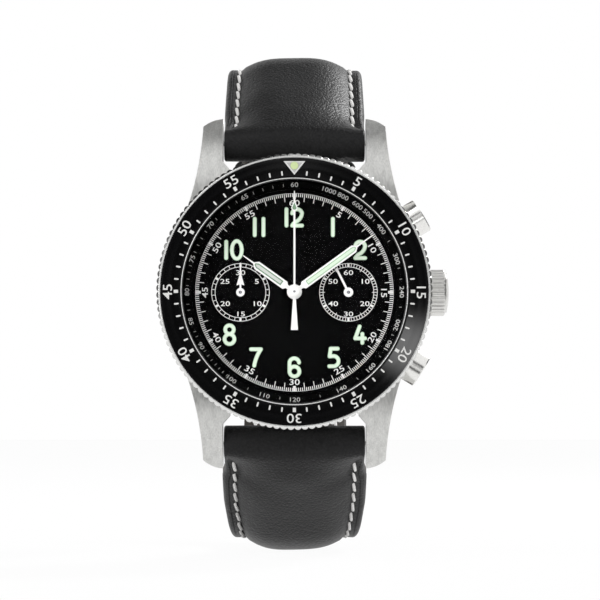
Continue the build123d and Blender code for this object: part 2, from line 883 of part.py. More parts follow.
def pusher(angle):
    cap = turned(
        (0, pusher_cap_inner),
        (pusher_cap_radius, pusher_cap_inner),
        (pusher_cap_radius, pusher_cap_outer - pusher_cap_edge),
        (pusher_cap_radius - pusher_cap_edge, pusher_cap_outer),
        (0, pusher_cap_outer),
    )
    cap -= disc(pusher_cap_bore, pusher_cap_inner, pusher_cap_roof)
    shaft = disc(pusher_shaft_radius, pusher_shaft_inner_end, pusher_cap_roof)
    return radial(cap + shaft, angle, pusher_height)


def case_tubes():
    """The tubes pressed into the case for the crown and the two pushers."""
    pipe = tube(crown_tube_radius, crown_tube_bore, crown_tube_inner_end, crown_tube_outer_end)
    tubes = [radial(pipe, 0, crown_height)]
    for angle in pusher_angles:
        pipe = tube(
            pusher_tube_radius, pusher_tube_bore, pusher_tube_inner_end, pusher_tube_outer_end)
        tubes.append(radial(pipe, angle, pusher_height))
    return group(tubes)


def pusher_springs():
    top = pusher_cap_roof - pusher_travel - pusher_spring_seat_gap
    spring = tube(pusher_spring_outer, pusher_spring_inner, pusher_recess_floor, top)
    return group([radial(spring, angle, pusher_height) for angle in pusher_angles])


# Movement
third_place = (register_offset / 2, -(third_distance ** 2 - (register_offset / 2) ** 2) ** 0.5)
escape_place = tuple(
    origin + step for origin, step in zip((register_offset, 0), polar(escape_distance, escape_direction)))
barrel_place = (0, barrel_distance)
motion_place = polar(motion_distance, motion_direction)
idler_reach = register_offset - counter_pitch_radius * (1 + idler_teeth / counter_teeth)
idler_place = (-idler_reach, 0)
counter_place = (-register_offset, 0)


def pitch_radii(distance, wheel_teeth, pinion_leaves):
    """Share a centre distance between a wheel and the pinion it meets."""
    wheel = distance * wheel_teeth / (wheel_teeth + pinion_leaves)
    return wheel, distance - wheel


barrel_pitch, centre_pinion_pitch = pitch_radii(barrel_distance, barrel_teeth, centre_pinion_leaves)
centre_pitch, third_pinion_pitch = pitch_radii(third_distance, centre_teeth, third_pinion_leaves)
third_pitch, fourth_pinion_pitch = pitch_radii(third_distance, third_teeth, fourth_pinion_leaves)
fourth_pitch, escape_pinion_pitch = pitch_radii(escape_distance, fourth_teeth, escape_pinion_leaves)


def movement_holder():
    ring = tube(holder_outer, holder_inner, holder_bottom, holder_top)
    ring -= radial(disc(stem_passage, stem_inner_end, crown_tube_outer_end), 0, crown_height)
    for angle in pusher_angles:
        ring -= radial(disc(pusher_passage, stem_inner_end, crown_tube_outer_end), angle, pusher_height)
    return ring


def pivot_hole(place, radius, bottom, top):
    return disc(radius + pivot_clearance, bottom, top, place)


def main_plate():
    plate = disc(plate_radius, plate_bottom, plate_top)
    plate -= disc(plate_recess_radius, plate_recess_floor, plate_top)
    plate -= pivot_hole((0, 0), centre_arbor_radius, 0, plate_top)
    plate -= pivot_hole((register_offset, 0), register_arbor_radius, 0, plate_top)
    plate -= pivot_hole(counter_place, register_arbor_radius, 0, plate_top)
    for place in (third_place, escape_place, barrel_place, balance_place, pallet_place):
        plate -= pivot_hole(place, pivot_radius, plate_bottom, plate_bottom + pivot_depth)
    plate += disc(minute_post_radius, plate_recess_floor - pivot_depth, plate_top, motion_place)
    for place in (*pillar_places, cock_place):
        plate += disc(pillar_radius, bridge_top, plate_bottom + pivot_depth, place)
    stem_cut = Pos(0, 0, crown_height - stem_passage) * Box(
        2 * (plate_radius + overrun), 2 * stem_passage, 2 * stem_passage,
        align=(Align.MIN, Align.CENTER, Align.MIN))
    return plate - Pos(stem_inner_end - overrun, 0, 0) * stem_cut


def cock_outline(grow):
    """Plan of the balance cock, from the balance's axis to its foot."""
    return capsule(balance_place, cock_place, cock_width + 2 * grow)


def train_bridge():
    window = Pos(*balance_place) * Circle(balance_radius + cock_gap)
    plan = Circle(bridge_radius) - window - cock_outline(cock_gap)
    bridge = slab(plan, bridge_bottom, bridge_top - bridge_bottom)
    bridge -= pivot_hole((0, 0), centre_arbor_radius, 0, bridge_top)
    bridge -= pivot_hole(counter_place, register_arbor_radius, 0, bridge_top)
    low = bridge_top - pivot_depth
    for place in (third_place, escape_place, barrel_place, pallet_place, (register_offset, 0)):
        bridge -= pivot_hole(place, pivot_radius, low, bridge_top)
    bridge -= pivot_hole(idler_place, pivot_radius, bridge_bottom, bridge_bottom + pivot_depth)
    return bridge


def balance_cock():
    cock = slab(cock_outline(0), bridge_bottom, bridge_top - bridge_bottom)
    cock = cock & disc(bridge_radius, 0, bridge_top)
    return cock - pivot_hole(balance_place, pivot_radius, bridge_top - pivot_depth, bridge_top)


def bridge_screws():
    screws = []
    for place in (*pillar_places, cock_place):
        head = disc(screw_head_radius, bridge_bottom - screw_head_height, bridge_bottom)
        slot = Pos(0, 0, bridge_bottom - screw_head_height) * Box(
            4 * screw_head_radius, screw_slot_width, 2 * screw_slot_depth)
        screws.append(Pos(*place, 0) * (head - slot))
    return group(screws)


def arbor(place, bottom, top, radius=arbor_radius):
    """A shaft between two pivots that enter the bridge and the plate."""
    body = disc(radius, bottom, top)
    pivots = disc(pivot_radius, bottom - pivot_depth + pivot_clearance, top + pivot_depth - pivot_clearance)
    return Pos(*place, 0) * (body + pivots)


def pinion(leaves, pitch, place, bottom, height):
    return Pos(*place, 0) * slab(toothed(leaves, pitch), bottom, height)


def wheel(teeth, pitch, place, bottom):
    return Pos(*place, 0) * slab(crossed(toothed(teeth, pitch), pitch), bottom, wheel_thickness)


train_low = bridge_top + pivot_clearance
train_high = plate_bottom - pivot_clearance


def mainspring_barrel():
    drum = disc(barrel_pitch * barrel_drum_share, barrel_drum_bottom, barrel_drum_top)
    rim = slab(toothed(barrel_teeth, barrel_pitch), level_low, barrel_drum_bottom - level_low)
    inside = disc(
        barrel_pitch * wheel_rim_share, level_low + barrel_lid_thickness,
        barrel_drum_top - barrel_lid_thickness)
    hollow = drum + rim - inside - disc(barrel_arbor_radius / 2, 0, case_top)
    return Pos(*barrel_place, 0) * hollow


def barrel_arbor():
    inside_bottom = level_low + barrel_lid_thickness + pivot_clearance
    inside_top = barrel_drum_top - barrel_lid_thickness - pivot_clearance
    core = disc(barrel_arbor_radius, inside_bottom, inside_top)
    neck = disc(barrel_arbor_radius / 2 - pivot_clearance, train_low, train_high)
    pivots = disc(pivot_radius, train_low - pivot_depth / 2, train_high + pivot_depth / 2)
    return Pos(*barrel_place, 0) * (core + neck + pivots)


def centre_wheel():
    shaft = tube(centre_arbor_radius, centre_arbor_bore, bridge_bottom, motion_level_low)
    body = wheel(centre_teeth, centre_pitch, (0, 0), level_high)
    body += pinion(centre_pinion_leaves, centre_pinion_pitch, (0, 0), level_low, wheel_thickness)
    return body - disc(centre_arbor_radius, 0, case_top) + shaft


def third_wheel():
    body = arbor(third_place, train_low, train_high)
    body += wheel(third_teeth, third_pitch, third_place, level_middle)
    return body + pinion(
        third_pinion_leaves, third_pinion_pitch, third_place, level_high, wheel_thickness)


def fourth_wheel():
    place = (register_offset, 0)
    body = arbor(place, train_low, level_high)
    body += disc(register_arbor_radius, level_high, register_hand_bottom + thin_hand_thickness, place)
    body += wheel(fourth_teeth, fourth_pitch, place, level_low)
    return body + pinion(
        fourth_pinion_leaves, fourth_pinion_pitch, place, level_middle, wheel_thickness)


def escape_wheel():
    points = []
    for tooth in range(escape_teeth):
        points.append(polar(escape_radius * wheel_rim_share, 360 * tooth / escape_teeth))
        points.append(polar(escape_radius, 360 * (tooth + escape_tip_share) / escape_teeth))
    outline = crossed(make_face(Polyline(*points, close=True)), escape_radius * wheel_rim_share)
    body = Pos(*escape_place, 0) * slab(outline, level_high, wheel_thickness)
    body += arbor(escape_place, train_low, train_high)
    return body + pinion(
        escape_pinion_leaves, escape_pinion_pitch, escape_place, level_low, wheel_thickness)


pallet_angle = bearing(escape_place, balance_place)
pallet_place = tuple(
    origin + step for origin, step in zip(escape_place, polar(pallet_distance, pallet_angle)))


def pallet_fork():
    lever = Pos(pallet_lever_length / 2, 0) * Rectangle(pallet_lever_length, pallet_lever_width)
    arms = Rectangle(pallet_arm_width, 2 * pallet_arm_reach)
    plan = lever + arms
    for side in (-1, 1):
        stone = Rectangle(pallet_stone_length, pallet_stone_width)
        plan += Pos(
            -(pallet_arm_width + pallet_stone_length) / 2, side * (pallet_arm_reach - pallet_stone_width / 2)
        ) * stone
    fork = Rot(0, 0, pallet_angle) * slab(plan, level_high, pallet_thickness)
    return Pos(*pallet_place, 0) * fork + arbor(pallet_place, train_low, train_high)


def balance_wheel():
    inner = balance_radius - balance_rim_width
    plan = Circle(balance_radius) - Circle(inner)
    plan += Rectangle(2 * inner + balance_rim_width, balance_spoke_width)
    plan += Circle(2 * arbor_radius)
    body = slab(plan, balance_bottom, balance_thickness)
    roller = disc(balance_roller_radius, level_high, level_high + wheel_thickness)
    return Pos(*balance_place, 0) * (body + roller) + arbor(balance_place, train_low, train_high)


def hairspring():
    """A flat spiral of half turns round the balance staff."""
    outer, inner = [], []
    radius = hairspring_inner
    half_pitch = hairspring_pitch / 2
    for half in range(2 * hairspring_turns):
        side = 1 if half % 2 == 0 else -1
        step = half_pitch
        for edges, shift in ((outer, hairspring_width / 2), (inner, -hairspring_width / 2)):
            start = (side * (radius + shift), 0)
            end = (-side * (radius + step + shift), 0)
            middle_x = (start[0] + end[0]) / 2
            middle = (middle_x, side * (radius + step / 2 + shift))
            edges.append(ThreePointArc(start, middle, end))
        radius += step
    face = make_face([
        *outer, Line(outer[-1] @ 1, inner[-1] @ 1), *inner, Line(inner[0] @ 0, outer[0] @ 0)])
    spiral = slab(face, hairspring_bottom, hairspring_thickness)
    collet = tube(
        hairspring_inner + hairspring_width / 2, arbor_radius, hairspring_bottom,
        hairspring_bottom + hairspring_thickness)
    return Pos(*balance_place, 0) * (spiral + collet)


def mainspring():
    """The wound spring, drawn as its packed coil between drum and arbor."""
    bottom = level_low + barrel_lid_thickness
    top = barrel_drum_top - barrel_lid_thickness
    outer = barrel_pitch * wheel_rim_share
    coil = tube(outer, outer / 2, bottom, top)
    return Pos(*barrel_place, 0) * coil


# Motion work and chronograph work
cannon_pitch = motion_distance * cannon_leaves / (cannon_leaves + minute_wheel_teeth)
minute_wheel_pitch = motion_distance - cannon_pitch
hour_wheel_pitch = motion_distance * hour_wheel_teeth / (hour_wheel_teeth + minute_pinion_leaves)
minute_pinion_pitch = motion_distance - hour_wheel_pitch


def cannon_pinion():
    pipe = disc(cannon_radius, motion_level_low, minute_hand_bottom + hand_thickness)
    leaves = slab(toothed(cannon_leaves, cannon_pitch), motion_level_low, motion_wheel_thickness)
    return pipe + leaves - disc(cannon_bore, 0, neck_top)


def minute_wheel():
    low = slab(
        crossed(toothed(minute_wheel_teeth, minute_wheel_pitch), minute_wheel_pitch),
        motion_level_low, motion_wheel_thickness)
    rise = motion_level_high - motion_level_low
    high = slab(
        toothed(minute_pinion_leaves, minute_pinion_pitch), motion_level_low,
        rise + motion_wheel_thickness)
    bore = disc(minute_post_radius + pivot_clearance, 0, case_top)
    return Pos(*motion_place, 0) * (low + high - bore)


def hour_wheel():
    body = slab(
        crossed(toothed(hour_wheel_teeth, hour_wheel_pitch), hour_wheel_pitch) + Circle(hour_pipe_radius),
        motion_level_high, motion_wheel_thickness)
    body += disc(hour_pipe_radius, motion_level_high, hour_hand_bottom + hand_thickness)
    return body - disc(hour_pipe_bore, 0, neck_top)


def chrono_wheel():
    rim = chrono_wheel_radius - chrono_finger_width
    plan = crossed(Circle(rim), rim)
    finger = Pos(chrono_wheel_radius / 2, 0) * Rectangle(chrono_wheel_radius, chrono_finger_width)
    body = slab(plan + finger, chrono_level, chrono_wheel_thickness)
    return body + disc(chrono_arbor_radius, chrono_level, chrono_hand_bottom + hand_thickness)


def chrono_idler():
    pitch = counter_pitch_radius * idler_teeth / counter_teeth
    body = slab(toothed(idler_teeth, pitch), chrono_level, chrono_wheel_thickness)
    body += disc(pivot_radius, chrono_level, bridge_bottom + pivot_depth - pivot_clearance)
    return Pos(*idler_place, 0) * body


def counter_wheel():
    plan = crossed(toothed(counter_teeth, counter_pitch_radius), counter_pitch_radius)
    body = slab(plan, chrono_level, chrono_wheel_thickness)
    body += disc(register_arbor_radius, chrono_level, register_hand_bottom + thin_hand_thickness)
    return Pos(*counter_place, 0) * body


# Hands, drawn pointing to 12 o'clock
def baton(length, body, half_width, half_needle):
    start, shoulder, needle = body
    right = [
        (hand_neck_half_width, 0), (hand_neck_half_width, start - hand_neck_half_width),
        (half_width, start), (half_width, shoulder), (half_needle, needle),
        (needle_tip_half_width, length),
    ]
    left = [(-x, y) for x, y in reversed(right)]
    return make_face(Polyline(*right, *left, close=True))


def lume_window(body, half_width):
    start, shoulder, needle = body
    half = half_width - lume_border
    right = [
        (half, lume_start), (half, shoulder - lume_border / 2),
        (half * lume_tip_share, needle - lume_border),
    ]
    left = [(-x, y) for x, y in reversed(right)]
    return make_face(Polyline(*right, *left, close=True))


def central_hand(length, body, half_width, bottom, angle, bore):
    plan = baton(length, body, half_width, needle_half_width) + Circle(hand_hub_radius)
    plan -= lume_window(body, half_width)
    hand = slab(plan, bottom, hand_thickness)
    hand += disc(hand_hub_radius * hub_cap_share, bottom, bottom + hand_thickness + hub_rise)
    return clockwise(angle, hand - disc(bore, 0, neck_top))


def hand_lume(body, half_width, bottom, angle):
    return clockwise(angle, slab(lume_window(body, half_width), bottom, hand_thickness + lume_proud))


def hour_hand():
    return central_hand(
        hour_hand_length, hour_body, hour_half_width, hour_hand_bottom, hour_hand_angle, hour_pipe_radius)


def minute_hand():
    return central_hand(
        minute_hand_length, minute_body, minute_half_width, minute_hand_bottom, minute_hand_angle,
        cannon_radius)


def drop(inset):
    half = drop_half_width - inset
    return make_face([
        ThreePointArc((-half, drop_widest), (0, drop_start + inset), (half, drop_widest)),
        Line((half, drop_widest), (0, drop_end - lume_point_borders * inset)),
        Line((0, drop_end - lume_point_borders * inset), (-half, drop_widest)),
    ])


def chrono_hand():
    needle = Polygon(
        (-chrono_needle_half_width, 0), (chrono_needle_half_width, 0),
        (chrono_needle_half_width, drop_end), (needle_tip_half_width, chrono_hand_length),
        (-needle_tip_half_width, chrono_hand_length), (-chrono_needle_half_width, drop_end), align=None)
    tail = Polygon(
        (-chrono_needle_half_width, 0), (-chrono_tail_half_width, -chrono_tail_length),
        (chrono_tail_half_width, -chrono_tail_length), (chrono_needle_half_width, 0), align=None)
    plan = needle + tail + drop(0) - drop(drop_border) + Circle(chrono_hub_radius)
    hand = slab(plan, chrono_hand_bottom, thin_hand_thickness)
    hand += disc(
        chrono_hub_radius * chrono_cap_share, chrono_hand_bottom,
        chrono_hand_bottom + hand_thickness + hub_rise)
    return hand - disc(chrono_arbor_radius, 0, neck_top)


def chrono_hand_lume():
    return slab(drop(drop_border), chrono_hand_bottom, thin_hand_thickness + lume_proud)


def minute_counter_hand():
    neck = counter_neck_half_width
    outline = Polygon(
        (neck, 0), (neck, counter_barb_start + neck), (counter_barb_half_width, counter_barb_start),
        (neck, 2 * counter_barb_start + counter_barb_half_width),
        (needle_tip_half_width, counter_hand_length),
        (-needle_tip_half_width, counter_hand_length),
        (-neck, 2 * counter_barb_start + counter_barb_half_width),
        (-counter_barb_half_width, counter_barb_start), (-neck, counter_barb_start + neck), (-neck, 0),
        align=None)
    plan = outline + Circle(counter_hub_radius) - Circle(register_arbor_radius)
    return Pos(*counter_place, 0) * slab(plan, register_hand_bottom, thin_hand_thickness)


def small_seconds_hand():
    half = seconds_hand_half_width
    outline = Polygon(
        (-half, 0), (half, 0), (half, seconds_hand_length - half), (half / 2, seconds_hand_length),
        (-half / 2, seconds_hand_length), (-half, seconds_hand_length - half), align=None)
    plan = outline + Circle(seconds_hub_radius) - Circle(register_arbor_radius)
    hand = slab(plan, register_hand_bottom, thin_hand_thickness)
    return Pos(register_offset, 0, 0) * clockwise(small_seconds_angle, hand)


# Strap halves. Each is drawn on the 12 o'clock side, in the plane of y and z,
# along a route of straight and curved stretches, then the long one is mirrored.
class Route:
    def __init__(self, heading, stretches):
        self.spans = []
        y, z, along = bar_reach, bar_height, 0.0
        for length, turn in stretches:
            self.spans.append((along, length, y, z, heading, turn))
            y, z, heading = self.walk(y, z, heading, turn, length, length)
            along += length
        self.length = along

    @staticmethod
    def walk(y, z, heading, turn, length, step):
        """Go this step along a stretch that turns evenly over its length."""
        angle = turn * step / length
        half = radians(angle) / 2
        chord = step if half == 0 else step * sin(half) / half
        direction = radians(heading) + half
        return y + chord * cos(direction), z + chord * sin(direction), heading + angle

    def at(self, along):
        for start, length, y, z, heading, turn in self.spans:
            if along <= start + length:
                break
        return self.walk(y, z, heading, turn, length, along - start)

    def raised(self, along, height):
        """The point at this height over the route, away from the wrist."""
        y, z, heading = self.at(along)
        return y - height * sin(radians(heading)), z + height * cos(radians(heading))

    def plane(self, along):
        """x across the strap, y along it, z away from the wrist."""
        y, z, heading = self.at(along)
        normal = (0, -sin(radians(heading)), cos(radians(heading)))
        return Plane(origin=(0, y, z), x_dir=(1, 0, 0), z_dir=normal)

    def stops(self, start, end, extra=()):
        marks = [span[0] for span in self.spans] + list(extra)
        inner = sorted({mark for mark in marks if start < mark < end})
        return [start, *inner, end]


def heights(table):
    """Height along the strap from a table of (along, height), straight between."""
    def height(along):
        for (a0, h0), (a1, h1) in zip(table, table[1:]):
            if along <= a1:
                return h0 + (h1 - h0) * (along - a0) / (a1 - a0)
        return table[-1][1]
    return height


def band(route, start, end, low, high, width, extra=()):
    """A band along the route between two heights, which are functions of length."""
    stops = route.stops(start, end, extra)
    upper, lower = [], []
    for a, b in zip(stops, stops[1:]):
        for edges, height in ((upper, high), (lower, low)):
            points = [route.raised(s, height(s)) for s in (a, (a + b) / 2, b)]
            bend = abs(route.at(a)[2] - route.at(b)[2])
            edges.append(ThreePointArc(*points) if bend else Line(points[0], points[2]))
    first = Line(route.raised(start, low(start)), route.raised(start, high(start)))
    last = Line(route.raised(end, high(end)), route.raised(end, low(end)))
    face = Plane.YZ * make_face([*upper, *lower, first, last])
    return extrude(face, width / 2, both=True)


def level(height):
    return lambda along: height


def taper(route, span, grow):
    """Everything between the strap's two edges, narrowed by -grow a side."""
    first, depth = (route.at(along)[1] for along in span)
    top = bar_height + strap_boss_radius + overrun
    wide = lug_gap / 2 - strap_side_clearance + grow
    narrow = strap_end_width / 2 + grow
    foot = depth - route.length
    outline = Polygon(
        (-wide, top), (wide, top), (wide, first), (narrow, depth), (narrow, foot),
        (-narrow, foot), (-narrow, depth), (-wide, first), align=None)
    reach = bar_reach + route.length
    return extrude(Plane.XZ * outline, reach, both=True)


def padding(route, table, taper_span):
    start, end = table[1][0], table[-2][0]
    height = heights(table)
    core = band(
        route, start, end, level(0), lambda s: height(s) - strap_skin, lug_gap, [s for s, h in table])
    return core & taper(route, taper_span, -strap_border - strap_skin)


def leather(route, table, taper_span, end):
    height = heights(table)
    sheet = band(route, 0, end, level(0), level(strap_leather), lug_gap)
    crown_band = band(
        route, table[0][0], table[-1][0], level(strap_leather / 2), height, lug_gap,
        [s for s, h in table])
    sheet += across_bar(strap_boss_radius, lug_gap / 2)
    sheet = sheet & taper(route, taper_span, 0)
    sheet += crown_band & taper(route, taper_span, -strap_border)
    sheet -= padding(route, table, taper_span)
    return sheet - across_bar(bar_radius + strap_bore_clearance, lug_gap)


def lining(route, taper_span, end):
    start = strap_boss_radius + strap_bore_clearance
    sheet = band(route, start, end, level(-strap_lining), level(0), lug_gap)
    return sheet & taper(route, taper_span, 0)


short_route = Route(short_heading, short_stretches)
long_route = Route(long_heading, long_stretches)
buckle_plane = short_route.plane(short_route.length)


def along_plane(plane, sketch, half_width):
    """Extrude a (along, away from the wrist) sketch across the strap."""
    side = Plane(origin=plane.origin, x_dir=plane.y_dir, z_dir=plane.x_dir)
    return extrude(side * sketch, half_width, both=True)


def buckle_slot():
    """Room for the tongue in the strap's folded end."""
    half = tongue_width / 2 + tongue_slot_gap
    sketch = Pos(-tongue_slot_length / 2 + buckle_boss_radius, 0) * Rectangle(
        tongue_slot_length + 2 * buckle_boss_radius, 4 * buckle_boss_radius)
    return along_plane(buckle_plane, sketch, half)


def short_leather():
    sheet = leather(short_route, short_padding, short_taper, short_route.length)
    sheet += along_plane(buckle_plane, Circle(buckle_boss_radius), strap_end_width / 2)
    sheet -= along_plane(buckle_plane, Circle(buckle_bar_radius + buckle_bar_clearance), lug_gap)
    return sheet - buckle_slot()


def short_lining():
    end = short_route.length - buckle_boss_radius - strap_bore_clearance
    return lining(short_route, short_taper, end) - buckle_slot()


def strap_tip_cut():
    plane = long_route.plane(long_route.length - tip_length)
    half = strap_end_width / 2
    shoulder = (half * tip_shoulder_share, tip_length * tip_shoulder_share)
    point = make_face([
        Line((-half, 0), (half, 0)),
        ThreePointArc((half, 0), shoulder, (0, tip_length)),
        ThreePointArc((0, tip_length), (-shoulder[0], shoulder[1]), (-half, 0)),
    ])
    block = Pos(0, tip_length) * Rectangle(lug_gap, 2 * tip_length)
    return extrude(plane * (block - point), strap_boss_radius * 2, both=True)


def strap_holes():
    holes = None
    for index in range(hole_count):
        plane = long_route.plane(hole_first + hole_pitch * index)
        hole = extrude(plane * Circle(hole_radius), strap_boss_radius, both=True)
        holes = hole if holes is None else holes + hole
    return holes


def far_side(shape):
    return mirror(shape, about=Plane.XZ)


def long_leather():
    sheet = leather(long_route, long_padding, long_taper, long_route.length)
    return far_side(sheet - strap_tip_cut() - strap_holes())


def long_lining():
    sheet = lining(long_route, long_taper, long_route.length)
    return far_side(sheet - strap_tip_cut() - strap_holes())


def short_padding_core():
    return padding(short_route, short_padding, short_taper)


def long_padding_core():
    return far_side(padding(long_route, long_padding, long_taper))


def spring_bars():
    """Two bars, each a tube with a sprung pin in each end that enters the lug."""
    half = lug_gap / 2 - bar_end_gap
    inner = half - bar_tip_depth_in_bar
    outer = lug_gap / 2 + bar_tip_entry
    core = across_bar(bar_tip_radius, inner)
    tube_body = across_bar(bar_radius, half) - (across_bar(bar_tip_radius, half) - core)
    pins = across_bar(bar_tip_radius, outer) - core
    pieces = [*tube_body.solids(), *pins.solids()]
    return group([*pieces, *(far_side(piece) for piece in pieces)])


# Buckle
def buckle_frame():
    inner_half = strap_end_width / 2 + buckle_side_gap
    outer_half = inner_half + buckle_side_width
    reach = buckle_window + buckle_front_width
    plan = Pos(0, reach / 2) * Rectangle(2 * outer_half, reach)
    plan = fillet(plan.vertices().group_by(Axis.Y)[-1], buckle_corner_round)
    plan -= Pos(0, buckle_window / 2) * Rectangle(2 * inner_half, buckle_window)
    frame = extrude(buckle_plane * plan, buckle_half_thickness, both=True)
    eyes = along_plane(buckle_plane, Circle(buckle_eye_radius), outer_half)
    eyes -= along_plane(buckle_plane, Circle(buckle_eye_radius + overrun), inner_half)
    frame += eyes
    return frame - along_plane(buckle_plane, Circle(buckle_bar_radius), outer_half + overrun)


def buckle_bar():
    outer_half = strap_end_width / 2 + buckle_side_gap + buckle_side_width
    return along_plane(buckle_plane, Circle(buckle_bar_radius), outer_half)


def buckle_tongue():
    rest = buckle_half_thickness + tongue_rest_gap
    reach = buckle_window + buckle_front_width + tongue_overhang
    blade = Polygon(
        (0, tongue_hub_radius - tongue_thickness), (0, tongue_hub_radius - tongue_lip),
        (reach / 2, rest + tongue_thickness), (reach, rest + tongue_thickness),
        (reach, rest), (reach / 2, rest), align=None)
    plan = blade + Circle(tongue_hub_radius) - Circle(buckle_bar_radius + buckle_bar_clearance)
    return along_plane(buckle_plane, plan, tongue_width / 2)


def keeper(place, length, under):
    """A loop round the strap with room for the long half's tail."""
    half = strap_end_width / 2 + keeper_side_gap
    bottom = -strap_lining - under
    top = strap_leather + keeper_tail_room
    middle = (bottom + top) / 2
    inner = Box(2 * half, length + overrun, top - bottom)
    outer = Box(2 * (half + keeper_wall), length, top - bottom + 2 * keeper_wall)
    outer = fillet(outer.edges().filter_by(Axis.Y), keeper_wall)
    return short_route.plane(place).location * Pos(0, 0, middle) * (outer - inner)


def free_keeper():
    return keeper(free_keeper_place, keeper_length, keeper_under_gap)


def fixed_keeper():
    return keeper(fixed_keeper_place, fixed_keeper_length, 0)


nodes = {
    "mid_case": mid_case,
    "case_back": case_back,
    "crystal": crystal,
    "case_gaskets": case_gaskets,
    "flange_ring": flange_ring,
    "dial": dial,
    "hour_numerals": hour_numerals,
    "movement_holder": movement_holder,
    "main_plate": main_plate,
    "train_bridge": train_bridge,
    "balance_cock": balance_cock,
    "bridge_screws": bridge_screws,
    "mainspring_barrel": mainspring_barrel,
    "barrel_arbor": barrel_arbor,
    "mainspring": mainspring,
    "centre_wheel": centre_wheel,
    "third_wheel": third_wheel,
    "fourth_wheel": fourth_wheel,
    "escape_wheel": escape_wheel,
    "pallet_fork": pallet_fork,
    "balance_wheel": balance_wheel,
    "hairspring": hairspring,
    "cannon_pinion": cannon_pinion,
    "minute_wheel": minute_wheel,
    "hour_wheel": hour_wheel,
    "chrono_wheel": chrono_wheel,
    "chrono_idler": chrono_idler,
    "counter_wheel": counter_wheel,
    "bezel_ring": bezel_ring,
    "bezel_insert": bezel_insert,
    "bezel_triangle": bezel_triangle,
    "bezel_pip": bezel_pip,
    "bezel_springs": bezel_springs,
    "crown": crown,
    "crown_gasket": crown_gasket,
    "winding_stem": winding_stem,
    "pusher_upper": lambda: pusher(pusher_angles[0]),
    "pusher_lower": lambda: pusher(pusher_angles[1]),
    "case_tubes": case_tubes,
    "pusher_springs": pusher_springs,
    "hour_hand": hour_hand,
    "hour_hand_lume": lambda: hand_lume(hour_body, hour_half_width, hour_hand_bottom, hour_hand_angle),
    "minute_hand": minute_hand,
    "minute_hand_lume": lambda: hand_lume(
        minute_body, minute_half_width, minute_hand_bottom, minute_hand_angle),
    "chrono_hand": chrono_hand,
    "chrono_hand_lume": chrono_hand_lume,
    "minute_counter_hand": minute_counter_hand,
    "small_seconds_hand": small_seconds_hand,
    "spring_bars": spring_bars,
    "strap_short_leather": short_leather,
    "strap_short_padding": short_padding_core,
    "strap_short_lining": short_lining,
    "strap_long_leather": long_leather,
    "strap_long_padding": long_padding_core,
    "strap_long_lining": long_lining,
    "buckle_frame": buckle_frame,
    "buckle_bar": buckle_bar,
    "buckle_tongue": buckle_tongue,
    "fixed_keeper": fixed_keeper,
    "free_keeper": free_keeper,
}

os.makedirs("parts", exist_ok=True)
for name, make in nodes.items():
    export_step(turn_upright(make()), f"parts/{name}.step")
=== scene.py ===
# %% [markdown]
# A pilot watch on a padded leather strap. The metal parts come from the CAD model and
# keep their shape. This lesson gives them their finishes, prints the scales on dial and
# bezel, and sews the strap.

# %% load the watch
from math import atan2, ceil, cos, hypot, pi, radians, sin, sqrt

import bmesh
import bpy
from mathutils import Matrix, Vector, noise


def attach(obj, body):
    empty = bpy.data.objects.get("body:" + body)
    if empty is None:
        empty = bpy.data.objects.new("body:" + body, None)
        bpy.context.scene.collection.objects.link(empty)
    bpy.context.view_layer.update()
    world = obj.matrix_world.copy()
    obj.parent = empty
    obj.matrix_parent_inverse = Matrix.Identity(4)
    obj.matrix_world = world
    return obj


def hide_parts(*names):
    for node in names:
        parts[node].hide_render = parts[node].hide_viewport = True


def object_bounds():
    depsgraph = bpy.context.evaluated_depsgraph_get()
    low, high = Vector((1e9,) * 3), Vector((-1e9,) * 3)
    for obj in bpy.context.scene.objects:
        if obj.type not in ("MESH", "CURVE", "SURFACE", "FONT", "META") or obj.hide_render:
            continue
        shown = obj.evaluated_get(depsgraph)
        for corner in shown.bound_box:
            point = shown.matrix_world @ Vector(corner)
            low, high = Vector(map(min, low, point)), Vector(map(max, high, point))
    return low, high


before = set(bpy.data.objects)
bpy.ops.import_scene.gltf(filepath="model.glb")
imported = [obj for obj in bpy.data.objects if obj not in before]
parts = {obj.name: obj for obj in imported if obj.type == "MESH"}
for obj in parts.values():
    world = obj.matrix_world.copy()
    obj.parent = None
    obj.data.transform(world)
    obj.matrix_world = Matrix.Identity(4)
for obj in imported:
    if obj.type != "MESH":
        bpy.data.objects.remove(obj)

cad_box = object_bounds()
print("loaded", len(parts), "parts; box", [[round(v, 4) for v in corner] for corner in cad_box])

# %% [markdown]
# The watch stands with its dial towards the viewer: 12 o'clock up, the crown to the right.
# Sizes below are in millimetres as a watchmaker would lay the watch down: x to 3 o'clock,
# y to 12 o'clock and z up from the case back. One function turns such a place into the
# scene's metres, so no other line has to think about axes.

# %% from watch millimetres to the scene
def spot(x, y, z):
    return Vector((x, -z, y)) / 1000


def round_dial(radius, minutes):
    """The (x, y) place at a radius, at this many minutes past 12 o'clock."""
    turn = radians(minutes * 6)
    return radius * sin(turn), radius * cos(turn)


print("3 o'clock on the bezel is at", spot(*round_dial(21, 15), 11))

# %% [markdown]
# The photograph was taken from almost straight in front, about half a metre away and a
# little below the dial. A long lens on a 36 mm sensor gives that flat perspective. The
# watch sits a little left of and above the picture's middle, so the whole camera is
# moved sideways by that much instead of being turned, which would change the perspective.

